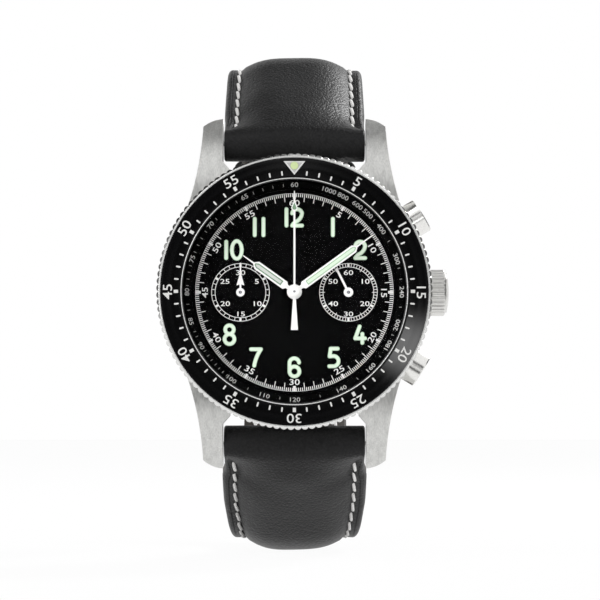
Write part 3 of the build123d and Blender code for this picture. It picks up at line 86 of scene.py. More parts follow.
# %% camera
camera_distance = 0.5
camera_below = radians(1.9)
lens = bpy.data.cameras.new("camera")
lens.sensor_width = 36
lens.lens = 197.6
lens.clip_start = 0.01
camera = bpy.data.objects.new("camera", lens)
looks_at = spot(0.85, -1.29, 11)
camera.location = looks_at + Vector((0, -cos(camera_below), -sin(camera_below))) * camera_distance
camera.rotation_euler = (radians(90) + camera_below, 0, 0)
bpy.context.scene.collection.objects.link(camera)
bpy.context.scene.camera = camera
print("camera at", [round(v, 4) for v in camera.location])

# %% [markdown]
# A catalogue picture is lit by a white room. The world is that room: anything seen
# directly, in a reflection or through glass is full white, while the light that it casts
# on matte surfaces is weaker, so that their colours come out as they are written. The
# Light Path node tells the two kinds of ray apart. A few helpers come first, which make
# nodes and join them, because every material below is made of nodes.

# %% helpers for nodes
def feed(tree, socket, value):
    """Give a socket another node's output, or a plain number, vector or (r, g, b)."""
    if isinstance(value, bpy.types.NodeSocket):
        tree.links.new(value, socket)
    elif socket.type == "RGBA":
        socket.default_value = (*value, 1)
    else:
        socket.default_value = value


def node(tree, kind, inputs=None, **settings):
    """A new node with these settings, and with what goes into its named inputs."""
    made = tree.nodes.new(kind)
    for name, value in settings.items():
        setattr(made, name, value)
    for name, value in (inputs or {}).items():
        feed(tree, made.inputs[name], value)
    return made


def calculate(tree, operation, *values):
    """What a Math node gives; each value is a socket or a plain number."""
    made = node(tree, "ShaderNodeMath", operation=operation)
    for socket, value in zip(made.inputs, values):
        feed(tree, socket, value)
    return made.outputs[0]


def emptied(owner):
    """The node tree of a new material or world, with nothing in it yet."""
    owner.use_nodes = True
    owner.node_tree.nodes.clear()
    return owner.node_tree


def seen_directly(tree):
    """1 where the eye looks, also by a mirror or through glass, and 0 for cast light."""
    path = node(tree, "ShaderNodeLightPath").outputs
    seen = calculate(tree, "MAXIMUM", path["Is Camera Ray"], path["Is Glossy Ray"])
    return calculate(tree, "MAXIMUM", seen, path["Is Transmission Ray"])


print("helpers ready for", bpy.app.version_string)

# %% studio room
room_light = 0.5
room = bpy.data.worlds.new("white_room")
room_tree = emptied(room)
level = calculate(room_tree, "MULTIPLY", seen_directly(room_tree), 1 - room_light)
level = calculate(room_tree, "ADD", level, room_light)
walls = node(room_tree, "ShaderNodeBackground", {"Color": (1, 1, 1), "Strength": level})
node(room_tree, "ShaderNodeOutputWorld", {"Surface": walls.outputs[0]})
bpy.context.scene.world = room
bpy.context.scene.view_settings.view_transform = "Standard"
print("room light", room_light)

# %% [markdown]
# Three soft lamps add direction: a broad one from the upper left, a narrower one from
# behind on the right that skims the leather and brings out its grain, and a weak one low
# on the left. They are area lamps, because a small bright lamp would leave hard points
# in the polished steel.

# %% lamps
def lamp(name, x, y, z, size, power):
    data = bpy.data.lights.new(name, "AREA")
    data.shape = "DISK"
    data.size = size
    data.energy = power
    made = bpy.data.objects.new(name, data)
    made.location = (x, y, z)
    made.rotation_euler = Vector((-x, -y, -z)).to_track_quat("-Z", "Y").to_euler()
    bpy.context.scene.collection.objects.link(made)
    print(name, "is", round(made.location.length, 2), "m away")


lamp("key_lamp", -0.42, -0.45, 0.5, size=0.4, power=1.3)
lamp("grain_lamp", 0.42, 0.42, 0.5, size=0.12, power=4.0)
lamp("low_lamp", -0.42, -0.4, 0.02, size=0.2, power=0.3)

# %% [markdown]
# Glossy black needs something dark to reflect, or it turns grey in a white room.
# Photographers cut a hole for the lens in a black card, and lay more black card on the
# table. These cards do the same: only glossy rays see them. The hole stays bright, so
# that flat steel facing the camera shines, and one soft patch beside it gives the sheen
# on the bezel's lower right, where the sloping insert mirrors that direction. Small cards
# above, beside and in front draw the dark bands on polished steel.

# %% a card that only mirrors see
def make_object(name, shape, look=None):
    """Put a finished bmesh into the scene as an object with this material."""
    mesh = bpy.data.meshes.new(name)
    shape.to_mesh(mesh)
    shape.free()
    if look:
        mesh.materials.append(look)
    made = bpy.data.objects.new(name, mesh)
    bpy.context.scene.collection.objects.link(made)
    return made


def new_material(name, shader_kind):
    """A material with nothing but a shader: the material, its tree and the shader."""
    look = bpy.data.materials.new(name)
    tree = emptied(look)
    shader = node(tree, shader_kind)
    node(tree, "ShaderNodeOutputMaterial", {"Surface": shader.outputs[0]})
    return look, tree, shader


def object_place(tree):
    return node(tree, "ShaderNodeTexCoord").outputs["Object"]


def vectors(tree, operation, *values):
    """What a Vector Math node gives: a number for a distance or dot product."""
    made = node(tree, "ShaderNodeVectorMath", operation=operation)
    for socket, value in zip(made.inputs, values):
        feed(tree, socket, value)
    return made.outputs["Value" if operation in ("DISTANCE", "DOT_PRODUCT") else "Vector"]


def ramp(tree, value, from_low, from_high, to_low, to_high, **settings):
    """A number that moves from one range into another with the value."""
    made = node(tree, "ShaderNodeMapRange", {
        "Value": value, "From Min": from_low, "From Max": from_high,
        "To Min": to_low, "To Max": to_high}, **settings)
    return made.outputs["Result"]


def glow(name, low, spots):
    """An emission that is low, with soft spots of (direction, inner, outer, bright)."""
    look, tree, light = new_material(name, "ShaderNodeEmission")
    heading = vectors(tree, "NORMALIZE", object_place(tree))
    level = low
    for direction, inner, outer, bright in spots:
        away = vectors(tree, "DISTANCE", heading, Vector(direction).normalized())
        patch = ramp(tree, away, inner, outer, bright, low, interpolation_type="SMOOTHERSTEP")
        level = calculate(tree, "MAXIMUM", level, patch)
    feed(tree, light.inputs["Strength"], level)
    return look


def card(name, low, corners, spots=()):
    """A flat card from its corners in metres; of four corners the last may be left out."""
    corners = [Vector(corner) for corner in corners]
    if len(corners) == 3:
        corners.append(corners[0] + corners[2] - corners[1])
    shape = bmesh.new()
    shape.faces.new([shape.verts.new(corner) for corner in corners])
    sheet = make_object(name, shape, glow(name, low, spots))
    for ray in ("camera", "diffuse", "transmission", "volume_scatter", "shadow"):
        setattr(sheet, "visible_" + ray, False)
    print(name, "is seen in reflections only")


print("cards can be cut")

# %% black cards
card_back = 0.47
half_card = 0.21
lens_hole = ((0, -1, 0.03), 0.22, 0.285, 0.95)
sheen = ((0.338, -0.931, -0.138), 0.02, 0.145, 4.0)
card("lens_card", 0.04, [
    (-half_card, -card_back, -half_card), (half_card, -card_back, -half_card),
    (half_card, -card_back, half_card)], [lens_hole, sheen])
table_top = cad_box[0][2]
right_edge = [
    (0.022, -0.072), (0.045, -0.098), (0.09, -0.17), (0.15, -0.27), (0.235, -card_back),
    (0.14, -card_back), (0.088, -0.33), (0.05, -0.21), (0.022, -0.14)]
left_edge = [(-x, y) for x, y in reversed(right_edge)]
arc = [(0.0, -0.064)] + right_edge + [(0.0, -0.115)] + left_edge
card("table_card", 0.06, [(x, y, table_top) for x, y in arc], [sheen])
card("crown_card", 0.15, [(0.0395, -0.4, -0.11), (0.07, -0.4, -0.11), (0.07, -0.4, 0.11)])
card("top_card", 0.02, [(-0.6, -0.28, 0.25), (-0.05, -0.28, 0.6), (-0.05, 0.45, 0.6)])
for name, side, low in (("roof_card_left", -1, 0.02), ("roof_card_right", 1, 0.1)):
    card(name, low, [
        (side * 0.014, -0.16, 0.4), (side * 0.12, -0.16, 0.4), (side * 0.12, 0.03, 0.4)])
card("sky_card", 0.25, [(-0.2, 0.2, 0.6), (0.14, 0.2, 0.6), (0.14, 0.7, 0.45)])
for name, side, far, high in (("side_card_left", -1, 0.2, 0.14), ("side_card_right", 1, 0.4, 0.36)):
    card(name, 0.1, [(side * 0.4, -0.1, -0.06), (side * 0.4, far, -0.06), (side * 0.4, far, high)])

# %% [markdown]
# The floor is a plain pale sheet under the lowest point of the strap. Camera, glossy and
# glass rays see the white room through most of it, so it melts into the room and the long
# strap half still shows where it swings below. The rest is a matte surface that keeps a
# faint shadow of the watch.

# %% floor
floor_half = 2
floor_gap = 0.0002
see_through = 0.96
floor_look, floor_tree, floor_mix = new_material("floor", "ShaderNodeMixShader")
matte = node(floor_tree, "ShaderNodeBsdfDiffuse", {"Color": (0.95, 0.95, 0.95)})
clear = node(floor_tree, "ShaderNodeBsdfTransparent")
share = calculate(floor_tree, "MULTIPLY", seen_directly(floor_tree), see_through)
for socket, source in zip(floor_mix.inputs, (share, matte.outputs[0], clear.outputs[0])):
    feed(floor_tree, socket, source)
floor_shape = bmesh.new()
bmesh.ops.create_grid(floor_shape, x_segments=1, y_segments=1, size=floor_half)
floor = make_object("floor", floor_shape, floor_look)
floor.location = (0, 0, table_top - floor_gap)
print("floor at", round(floor.location.z, 4))

# %% [markdown]
# Real surfaces are never one flat colour. Five effects come back in many finishes here,
# so each is built once as a node group: the lines of a brush, the rings of a lathe, a
# fine speckle, the grain of leather, and an edge mask with a softened normal. On metal
# the edge mask is the brighter edge of wear; on luminous paint it carries painted shade.
# A group gives out only masks, heights and normals; each finish decides what they change.

# %% helpers for the groups
def effect(name, inputs, outputs=("Shade", "Height")):
    """An empty node group, with what comes into it and what it gives out."""
    tree = bpy.data.node_groups.new(name, "ShaderNodeTree")
    for label, default in inputs.items():
        kind = "NodeSocketVector" if isinstance(default, tuple) else "NodeSocketFloat"
        socket = tree.interface.new_socket(label, in_out="INPUT", socket_type=kind)
        socket.default_value = default
    for label in outputs:
        kind = "NodeSocketVector" if label == "Normal" else "NodeSocketFloat"
        tree.interface.new_socket(label, in_out="OUTPUT", socket_type=kind)
    return tree, node(tree, "NodeGroupInput").outputs, node(tree, "NodeGroupOutput").inputs


def cloud(tree, where, scale, detail):
    made = node(tree, "ShaderNodeTexNoise", {"Vector": where, "Scale": scale, "Detail": detail})
    return made.outputs["Fac"]


def mixture(tree, first, second, share):
    """This share of the first value and the rest of the second."""
    first = calculate(tree, "MULTIPLY", first, share)
    second = calculate(tree, "MULTIPLY", second, 1 - share)
    return calculate(tree, "ADD", first, second)


def from_axis(tree, place):
    """How far a place is from the line through the watch's middle, front to back."""
    split = node(tree, "ShaderNodeSeparateXYZ", {"Vector": place}).outputs
    squares = [calculate(tree, "MULTIPLY", split[way], split[way]) for way in "XZ"]
    return calculate(tree, "SQRT", calculate(tree, "ADD", *squares))


print("group helpers ready")

# %% brush lines
brushed, given, out = effect("brushed_lines", {"Scale": (9000.0, 9000.0, 300.0)})
stretched = vectors(brushed, "MULTIPLY", object_place(brushed), given["Scale"])
fine = cloud(brushed, stretched, 1.0, 4)
broad = cloud(brushed, stretched, 0.17, 2)
feed(brushed, out["Shade"], mixture(brushed, fine, broad, 0.6))
feed(brushed, out["Height"], fine)
print("brushed lines ready")

# %% lathe rings
turned, given, out = effect("lathe_rings", {"Centre": (0.0, 0.0, 0.0), "Rings": 6000.0})
place = vectors(turned, "SUBTRACT", object_place(turned), given["Centre"])
count = calculate(turned, "MULTIPLY", from_axis(turned, place), given["Rings"])
rings = node(
    turned, "ShaderNodeTexNoise", {"W": count, "Scale": 1, "Detail": 3}, noise_dimensions="1D")
for label in ("Shade", "Height"):
    feed(turned, out[label], rings.outputs["Fac"])
print("lathe rings ready")

# %% speckle
speckle, given, out = effect("fine_speckle", {"Scale": 5000.0})
where = object_place(speckle)
grains = cloud(speckle, where, given["Scale"], 5)
patches = cloud(speckle, where, 150.0, 2)
feed(speckle, out["Shade"], mixture(speckle, grains, patches, 0.6))
feed(speckle, out["Height"], grains)
print("speckle ready")

# %% leather grain
grain, given, out = effect("leather_grain", {"Cells": 2600.0})
where = vectors(grain, "MULTIPLY", object_place(grain), (1.0, 0.5, 1.0))
swirl = node(grain, "ShaderNodeTexNoise", {"Vector": where, "Scale": 900}).outputs["Color"]
nudge = node(
    grain, "ShaderNodeVectorMath", {"Vector": swirl, "Scale": 0.0004}, operation="SCALE")
moved = vectors(grain, "ADD", where, nudge.outputs["Vector"])
cells = node(
    grain, "ShaderNodeTexVoronoi", {"Vector": moved, "Scale": given["Cells"]}, feature="SMOOTH_F1")
pebbles = calculate(grain, "SUBTRACT", 1.0, cells.outputs["Distance"])
pores = calculate(grain, "MULTIPLY", cloud(grain, where, 7000.0, 3), 0.5)
feed(grain, out["Height"], calculate(grain, "ADD", pebbles, pores))
dye = cloud(grain, where, 120.0, 3)
feed(grain, out["Shade"], mixture(grain, pebbles, dye, 0.5))
print("leather grain ready")

# %% edge wear and painted edge shade
edge_wear_and_shade, given, out = effect("edge_wear_and_shade_mask", {"Radius": 0.00012}, ("Mask", "Normal"))
rounded = node(edge_wear_and_shade, "ShaderNodeBevel", {"Radius": given["Radius"]}, samples=4).outputs["Normal"]
flat = node(edge_wear_and_shade, "ShaderNodeNewGeometry").outputs["Normal"]
likeness = vectors(edge_wear_and_shade, "DOT_PRODUCT", rounded, flat)
feed(edge_wear_and_shade, out["Mask"], ramp(edge_wear_and_shade, likeness, 0.995, 0.85, 0, 1))
feed(edge_wear_and_shade, out["Normal"], rounded)
print("worn edge ready")

# %% [markdown]
# Every finish below is a Principled shader whose colour, roughness and relief come from
# those effects. One helper wires the usual chain, so that each finish is one short call
# that says how bright, how rough and how deep its marks are.

# %% helpers for finishes
def between(tree, factor, low, high):
    """A number that moves from low to high over the middle half of the factor."""
    return ramp(tree, factor, 0.25, 0.75, low, high)


def tint(tree, factor, low, high):
    """A colour that moves from low to high with the factor."""
    made = node(tree, "ShaderNodeMix", {"Factor": factor, "A": low, "B": high}, data_type="RGBA")
    return made.outputs["Result"]


def finish(name, marks, values, low, high, rough, relief, edge=None, **plain):
    """A material: marks is an effect group, values its inputs, low and high its colours."""
    look, tree, shader = new_material(name, "ShaderNodeBsdfPrincipled")
    pattern = node(tree, "ShaderNodeGroup", values, node_tree=marks).outputs
    colour = tint(tree, between(tree, pattern["Shade"], 0, 1), low, high)
    bump = node(tree, "ShaderNodeBump", {
        "Distance": relief / 1000, "Strength": 1, "Height": pattern["Height"]})
    if edge:
        radius, edge_colour = edge
        wear_and_shade = node(tree, "ShaderNodeGroup", {"Radius": radius / 1000}, node_tree=edge_wear_and_shade).outputs
        feed(tree, bump.inputs["Normal"], wear_and_shade["Normal"])
        colour = tint(tree, wear_and_shade["Mask"], colour, edge_colour)
    feed(tree, shader.inputs["Base Color"], colour)
    feed(tree, shader.inputs["Roughness"], between(tree, pattern["Shade"], *rough))
    feed(tree, shader.inputs["Normal"], bump.outputs["Normal"])
    for socket, value in plain.items():
        shader.inputs[socket.replace("_", " ")].default_value = value
    return look


dressed = set()


def dress(look, *names):
    """Give CAD parts this material."""
    for name in names:
        mesh = parts[name].data
        mesh.materials.clear()
        mesh.materials.append(look)
    dressed.update(names)
    print(look.name, "on", len(names), "parts")


print("effects to choose from:", [group.name for group in (brushed, turned, speckle, grain, edge_wear_and_shade)])

# %% [markdown]
# The case and its lugs are brushed from 12 to 6 o'clock: fine upright lines that scatter
# the light sideways. The noise is stretched along that direction. Its neck, inside the
# bezel, is a mirror-bright rim, and past it a ring of painted shade stands for the
# shadowed gap under the bezel. The bezel, the crown and the pushers are polished, with
# only the faint marks that the lathe and the buffing wheel leave.

# %% case steel
def polish_inside(look, reach, shaded_band_end):
    """Mirror-bright up to reach from the watch's middle axis, then a near-black ring of painted shade
    for the gap under the bezel, out to the second radius.
    """
    tree = look.node_tree
    shader, bump = [
        next(made for made in tree.nodes if made.bl_idname == kind)
        for kind in ("ShaderNodeBsdfPrincipled", "ShaderNodeBump")]
    away = from_axis(tree, object_place(tree))
    outside = calculate(tree, "GREATER_THAN", away, shaded_band_end)
    polished = calculate(tree, "MULTIPLY", calculate(tree, "LESS_THAN", away, shaded_band_end), 0.12)
    rough = shader.inputs["Roughness"].links[0].from_socket
    rough = calculate(tree, "MULTIPLY", rough, outside)
    feed(tree, shader.inputs["Roughness"], calculate(tree, "ADD", rough, polished))
    feed(tree, bump.inputs["Strength"], outside)
    colour = shader.inputs["Base Color"].links[0].from_socket
    # Past reach the colour is near-black: painted shade for the shadowed gap between the bezel and the
    # neck.
    for edge, shade in ((shaded_band_end, (0.02, 0.02, 0.02)), (reach, (0.93, 0.93, 0.92))):
        colour = tint(tree, calculate(tree, "LESS_THAN", away, edge), colour, shade)
    feed(tree, shader.inputs["Base Color"], colour)


pale_edge = (0.95, 0.95, 0.93)
soft_edge = (0.9, 0.9, 0.88)
case_steel = finish(
    "brushed_steel", brushed, {"Scale": (7000.0, 7000.0, 260.0)},
    (0.42, 0.42, 0.41), (0.76, 0.76, 0.74), (0.26, 0.42), 0.006, (0.14, pale_edge), Metallic=1.0)
# The neck's rim is polished, and the near-black ring outside it is painted shade.
polish_inside(case_steel, reach=0.01724, shaded_band_end=0.0178)
dress(case_steel, "mid_case")

# %% other steel
dress(finish(
    "bezel_steel", turned, {"Rings": 5000.0},
    (0.66, 0.66, 0.65), (0.82, 0.82, 0.81), (0.16, 0.3), 0.001, (0.12, pale_edge), Metallic=1.0),
    "bezel_ring")
dress(finish(
    "polished_steel", speckle, {"Scale": 3500.0},
    (0.74, 0.74, 0.73), (0.86, 0.86, 0.85), (0.06, 0.16), 0.0006, (0.1, pale_edge), Metallic=1.0),
    "buckle_frame", "buckle_tongue", "buckle_bar", "spring_bars", "case_tubes",
    "winding_stem", "bridge_screws")
dress(finish(
    "pusher_steel", speckle, {"Scale": 4000.0},
    (0.76, 0.75, 0.73), (0.88, 0.88, 0.86), (0.17, 0.24), 0.0005, (0.1, soft_edge), Metallic=1.0),
    "pusher_upper", "pusher_lower")
dress(finish(
    "soft_steel", speckle, {"Scale": 4500.0},
    (0.66, 0.65, 0.63), (0.8, 0.8, 0.78), (0.26, 0.36), 0.001, (0.1, soft_edge), Metallic=1.0),
    "crown")
dress(finish(
    "turned_steel", turned, {"Rings": 4000.0},
    (0.55, 0.55, 0.54), (0.8, 0.8, 0.79), (0.2, 0.34), 0.003, (0.14, pale_edge), Metallic=1.0),
    "case_back", "barrel_arbor")
dress(finish(
    "spring_steel", brushed, {"Scale": (5000.0, 900.0, 5000.0)},
    (0.36, 0.37, 0.4), (0.58, 0.59, 0.62), (0.18, 0.35), 0.001, Metallic=1.0),
    "bezel_springs", "pusher_springs", "mainspring", "hairspring", "pallet_fork")

# %% [markdown]
# The bezel's insert is glossy black ceramic, with hardly a mark on it, so that its sheen
# is so clear. The triangle is a satin silver inlay and the pip in it is luminous paint.

# %% ceramic and inlay
dress(finish(
    "black_ceramic", turned, {"Rings": 900.0},
    (0.0012, 0.0012, 0.0014), (0.003, 0.003, 0.0035), (0.07, 0.13), 0.0002,
    (0.08, (0.006, 0.006, 0.007)), IOR=1.5),
    "bezel_insert")
dress(finish(
    "silver_inlay", speckle, {"Scale": 8000.0},
    (0.5, 0.5, 0.5), (0.66, 0.66, 0.65), (0.35, 0.55), 0.002),
    "bezel_triangle")

# %% [markdown]
# Sapphire crystal with an anti-reflection coating: clear glass that hardly mirrors the
# room. A low index of refraction stands for the coating. It casts no shadow, so that
# the lamps reach the dial as they do through the real crystal.

# %% crystal
sapphire, glass_tree, glass = new_material("coated_sapphire", "ShaderNodeBsdfPrincipled")
glass.inputs["Transmission Weight"].default_value = 1
glass.inputs["IOR"].default_value = 1.06
smear = node(glass_tree, "ShaderNodeGroup", {"Scale": 700}, node_tree=speckle).outputs["Shade"]
feed(glass_tree, glass.inputs["Base Color"], tint(glass_tree, smear, (0.985, 0.99, 1.0), (1, 1, 1)))
feed(glass_tree, glass.inputs["Roughness"], between(glass_tree, smear, 0.0, 0.012))
dress(sapphire, "crystal")
parts["crystal"].visible_shadow = False

# %% [markdown]
# The dial is black enamel paint with the finest grain, the flange ring round it the same.
# Hands are white lacquer on metal. The luminous paint in them and on the numerals is a
# pale green with a chalky grain, and each hand's filling has its own depth of green.

# %% dial and hands
dress(finish(
    "dial_black", speckle, {"Scale": 9000.0},
    (0.0008, 0.0008, 0.0009), (0.0018, 0.0018, 0.002), (0.35, 0.5), 0.001,
    Specular_IOR_Level=0.02),
    "dial", "flange_ring")
dress(finish(
    "hand_white", speckle, {"Scale": 6000.0},
    (0.86, 0.85, 0.83), (0.95, 0.94, 0.92), (0.25, 0.4), 0.001, (0.05, (0.98, 0.98, 0.97))),
    "hour_hand", "minute_hand", "chrono_hand", "minute_counter_hand", "small_seconds_hand")

# %% luminous paint
chalk = {"Scale": 8000.0}
chalk_rough = (0.6, 0.8)
# On the hands the dark green edge colour is painted shade, where the raised frame shades the paint's
# edge; the numerals' edge is simply darker and greener.
for part, name, low, high, edge in (
        ("hour_numerals", "lume", (0.72, 0.84, 0.68), (0.84, 0.93, 0.8),
         (0.25, (0.42, 0.62, 0.4))),
        ("minute_hand_lume", "lume_hand", (0.66, 0.8, 0.62), (0.76, 0.88, 0.72),
         (0.22, (0.16, 0.3, 0.16))),
        ("hour_hand_lume", "lume_grey", (0.58, 0.6, 0.56), (0.66, 0.68, 0.64),
         (0.24, (0.12, 0.24, 0.12))),
        ("chrono_hand_lume", "lume_deep", (0.16, 0.28, 0.17), (0.24, 0.38, 0.25), None)):
    dress(finish(name, speckle, chalk, low, high, chalk_rough, 0.004, edge), part)
dress(finish(
    "lume_yellow", speckle, chalk,
    (0.7, 0.85, 0.4), (0.8, 0.93, 0.52), (0.55, 0.75), 0.004, (0.12, (0.5, 0.65, 0.3))),
    "bezel_pip")

# %% [markdown]
# Inside, the plates and bridges are brass with a rhodium coat and long parallel strokes,
# the wheels are gilt, the holder is moulded plastic, and the gaskets are black rubber
# with a dusting of powder.

# %% movement
dress(finish(
    "plated_brass", brushed, {"Scale": (500.0, 500.0, 120.0)},
    (0.6, 0.58, 0.54), (0.8, 0.79, 0.76), (0.18, 0.36), 0.003, (0.1, pale_edge), Metallic=1.0),
    "main_plate", "train_bridge", "balance_cock")
dress(finish(
    "gilt_brass", turned, {"Rings": 3000.0},
    (0.66, 0.5, 0.22), (0.84, 0.68, 0.36), (0.18, 0.34), 0.002,
    (0.06, (0.95, 0.85, 0.6)), Metallic=1.0),
    "mainspring_barrel", "centre_wheel", "third_wheel", "escape_wheel", "balance_wheel",
    "minute_wheel", "hour_wheel")
dress(finish(
    "wheel_steel", turned, {"Rings": 3000.0},
    (0.12, 0.12, 0.13), (0.3, 0.3, 0.32), (0.2, 0.35), 0.002,
    (0.05, (0.6, 0.6, 0.6)), Metallic=1.0),
    "fourth_wheel", "chrono_wheel", "chrono_idler", "counter_wheel", "cannon_pinion")
dress(finish(
    "moulded_holder", speckle, {"Scale": 4000.0},
    (0.08, 0.08, 0.08), (0.14, 0.14, 0.14), (0.45, 0.65), 0.004),
    "movement_holder")
dress(finish(
    "black_rubber", speckle, {"Scale": 6000.0},
    (0.018, 0.018, 0.018), (0.045, 0.045, 0.045), (0.6, 0.85), 0.004),
    "case_gaskets", "crown_gasket")
print("parts without a finish so far:", sorted(set(parts) - dressed))

# %% [markdown]
# Scales are printed in white: hundreds of small marks and figures. Each printed layer is
# one mesh of thin raised shapes that lie on the surface below, which may be flat or a
# cone. A print is drawn flat in x and y, and a function gives the surface's height there.
# Modelled marks stay sharp at any distance, where a painted texture would blur.

# %% a printer
def join_rings(shape, rings, closed=False):
    """Faces from each ring of points to the next, and back to the first or two end caps."""
    for here, there in zip(rings, rings[1:] + rings[:1] if closed else rings[1:]):
        for i in range(len(here)):
            j = (i + 1) % len(here)
            shape.faces.new((here[i], here[j], there[j], there[i]))
    if not closed:
        shape.faces.new(rings[0])
        shape.faces.new(rings[-1][::-1])


class Print:
    """Collects thin raised marks; rise(x, y) is the height of the surface below."""

    def __init__(self, rise, thickness=0.02, sink=0.03):
        self.rise = rise
        self.thickness = thickness
        self.sink = sink
        self.shape = bmesh.new()

    def lay(self, outline):
        """A flat mark with this closed outline of (x, y) points."""
        top = [self.shape.verts.new((x, y, self.rise(x, y) + self.thickness)) for x, y in outline]
        low = [self.shape.verts.new((x, y, self.rise(x, y) - self.sink)) for x, y in outline]
        self.shape.faces.new(top)
        self.shape.faces.new(low[::-1])
        for i in range(len(top)):
            j = (i + 1) % len(top)
            self.shape.faces.new((top[i], low[i], low[j], top[j]))

    def tick(self, inner, outer, minutes, width, centre=(0, 0), ends=0):
        """A mark along the radius; ends is how many points round off each end."""
        half = width / 2
        flat = [(-half, inner), (half, inner), (half, outer), (-half, outer)]
        if ends:
            top = [(half * cos(pi * k / ends), outer - half + half * sin(pi * k / ends))
                   for k in range(ends + 1)]
            bottom = [(-x, inner + outer - y) for x, y in top]
            flat = bottom + top
        turn = radians(minutes * 6)
        self.lay([
            (centre[0] + x * cos(turn) + y * sin(turn), centre[1] - x * sin(turn) + y * cos(turn))
            for x, y in flat[::-1]])

    def circle(self, radius, width, centre=(0, 0), steps=180):
        """A line all round a centre."""
        inner, outer = radius - width / 2, radius + width / 2
        rings = []
        for k in range(steps):
            turn = 2 * pi * k / steps
            ring = []
            for reach, lift in ((inner, self.thickness), (outer, self.thickness),
                                (outer, -self.sink), (inner, -self.sink)):
                x = centre[0] + reach * cos(turn)
                y = centre[1] + reach * sin(turn)
                ring.append(self.shape.verts.new((x, y, self.rise(x, y) + lift)))
            rings.append(ring)
        join_rings(self.shape, rings, closed=True)

    def figure(self, words, height, x, y, turn=0.0, weight=0.0, stretch=1.0):
        """Plain figures with their middle at (x, y), turned clockwise in degrees."""
        figure_share = 0.7
        curve = bpy.data.curves.new("figure", "FONT")
        curve.body = words
        curve.size = height / figure_share
        curve.align_x = "CENTER"
        curve.resolution_u = 3
        curve.extrude = 0.1
        curve.offset = weight
        made = bpy.data.objects.new("figure", curve)
        bpy.context.scene.collection.objects.link(made)
        bpy.context.view_layer.update()
        mesh = bpy.data.meshes.new_from_object(
            made.evaluated_get(bpy.context.evaluated_depsgraph_get()))
        angle = radians(turn)
        for point in mesh.vertices:
            across, up = point.co.x * stretch, point.co.y - height / 2
            px = x + across * cos(angle) + up * sin(angle)
            py = y - across * sin(angle) + up * cos(angle)
            lift = self.thickness if point.co.z > 0 else -self.sink
            point.co = (px, py, self.rise(px, py) + lift)
        self.shape.from_mesh(mesh)
        bpy.data.objects.remove(made)
        bpy.data.curves.remove(curve)
        bpy.data.meshes.remove(mesh)

    def done(self, name, look, body):
        """End the print and let it ride on the body that it is printed on."""
        bmesh.ops.recalc_face_normals(self.shape, faces=self.shape.faces)
        for point in self.shape.verts:
            point.co = spot(*point.co)
        made = make_object(name, self.shape, look)
        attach(made, body)
        print(name, "has", len(made.data.polygons), "faces")


def cone(inner, inner_height, outer, outer_height):
    """The height over a cone or a flat ring, from its inner and outer edge."""
    slope = (outer_height - inner_height) / (outer - inner)
    return lambda x, y: inner_height + slope * (hypot(x, y) - inner)


print_white = finish(
    "print_white", speckle, {"Scale": 9000.0},
    (0.8, 0.8, 0.78), (0.92, 0.92, 0.9), (0.45, 0.6), 0.001)
print_grey = finish(
    "print_grey", speckle, {"Scale": 9000.0},
    (0.66, 0.66, 0.64), (0.8, 0.8, 0.78), (0.45, 0.6), 0.001)
print("inks:", print_white.name, print_grey.name)

# %% [markdown]
# The bezel's scale counts minutes: a slim rounded stroke for each, a broad one at every
# fifth, and figures whose tops point outwards all the way round, because the bezel turns
# and no side of it is always up. The triangle at 60 gets a white border.

# %% bezel scale
insert_slope = cone(17.5, 11.8, 20.38, 11.35)
stroke_foot, slim_head, broad_head = 17.64, 18.36, 18.3
figure_radius = 19.27
bezel_scale = Print(insert_slope)
for minute in range(1, 60):
    if minute % 5:
        bezel_scale.tick(stroke_foot, slim_head, minute, 0.25, ends=6)
    else:
        bezel_scale.tick(stroke_foot, broad_head, minute, 0.48)
        place = round_dial(figure_radius, minute)
        bezel_scale.figure(str(minute), 1.4, *place, turn=minute * 6, weight=0.008, stretch=1.22)
print("strokes and figures have", len(bezel_scale.shape.faces), "faces")

# %% border of the triangle
base, apex, half = 19.8, 17.7, 1.65
line = 0.2
border_thickness = 0.09
inner_base = base - line
inner_apex = apex + line * hypot(half, base - apex) / half
inner_half = half * (inner_base - inner_apex) / (base - apex)
outside = [(-half, base), (half, base), (0, apex)]
inside = [(-inner_half, inner_base), (inner_half, inner_base), (0, inner_apex)]
bezel_scale.thickness = border_thickness
for i in range(3):
    j = (i + 1) % 3
    bezel_scale.lay([outside[i], inside[i], inside[j], outside[j]])
bezel_scale.done("bezel_scale", print_white, "bezel")

# %% [markdown]
# The dial's track runs round its rim: fine strokes for fifths of a second, longer ones
# for seconds, blocks at each fifth second with a small figure inside them. Figures in
# the lower half stand the other way up, so that all of them can be read.

# %% dial print
def upright(minute):
    """Which way a figure turns: tops outward above, inward in the lower half."""
    turn = minute * 6
    return turn if turn <= 90 or turn >= 270 else turn - 180


dial_height = 7.4
track_figures, track_rim, rim_line = 13.68, 15.1, 15.12
strokes = ((75, 14.3, 0.42), (25, 14.4, 0.34), (5, 13.88, 0.12), (1, 14.58, 0.13))
dial_print = Print(lambda x, y: dial_height)
for fifth in range(300):
    foot, width = next((foot, width) for every, foot, width in strokes if fifth % every == 0)
    dial_print.tick(foot, track_rim, fifth / 5, width)
for minute in range(5, 61, 5):
    place = round_dial(track_figures, minute)
    dial_print.figure(str(minute), 0.88, *place, turn=upright(minute), weight=0.008, stretch=1.36)
dial_print.circle(rim_line, 0.04, steps=240)
dial_print.done("dial_print", print_white, "case")

# %% [markdown]
# Round the luminous paint runs a darker, greener line. On the hands it is painted shade,
# the thin shadow that the raised frame casts on the paint; round the numerals the paint
# is simply darker and greener at its border. The line is made from the paint's own top
# faces: they are inset, and only the strip between the old outline and the new one stays.

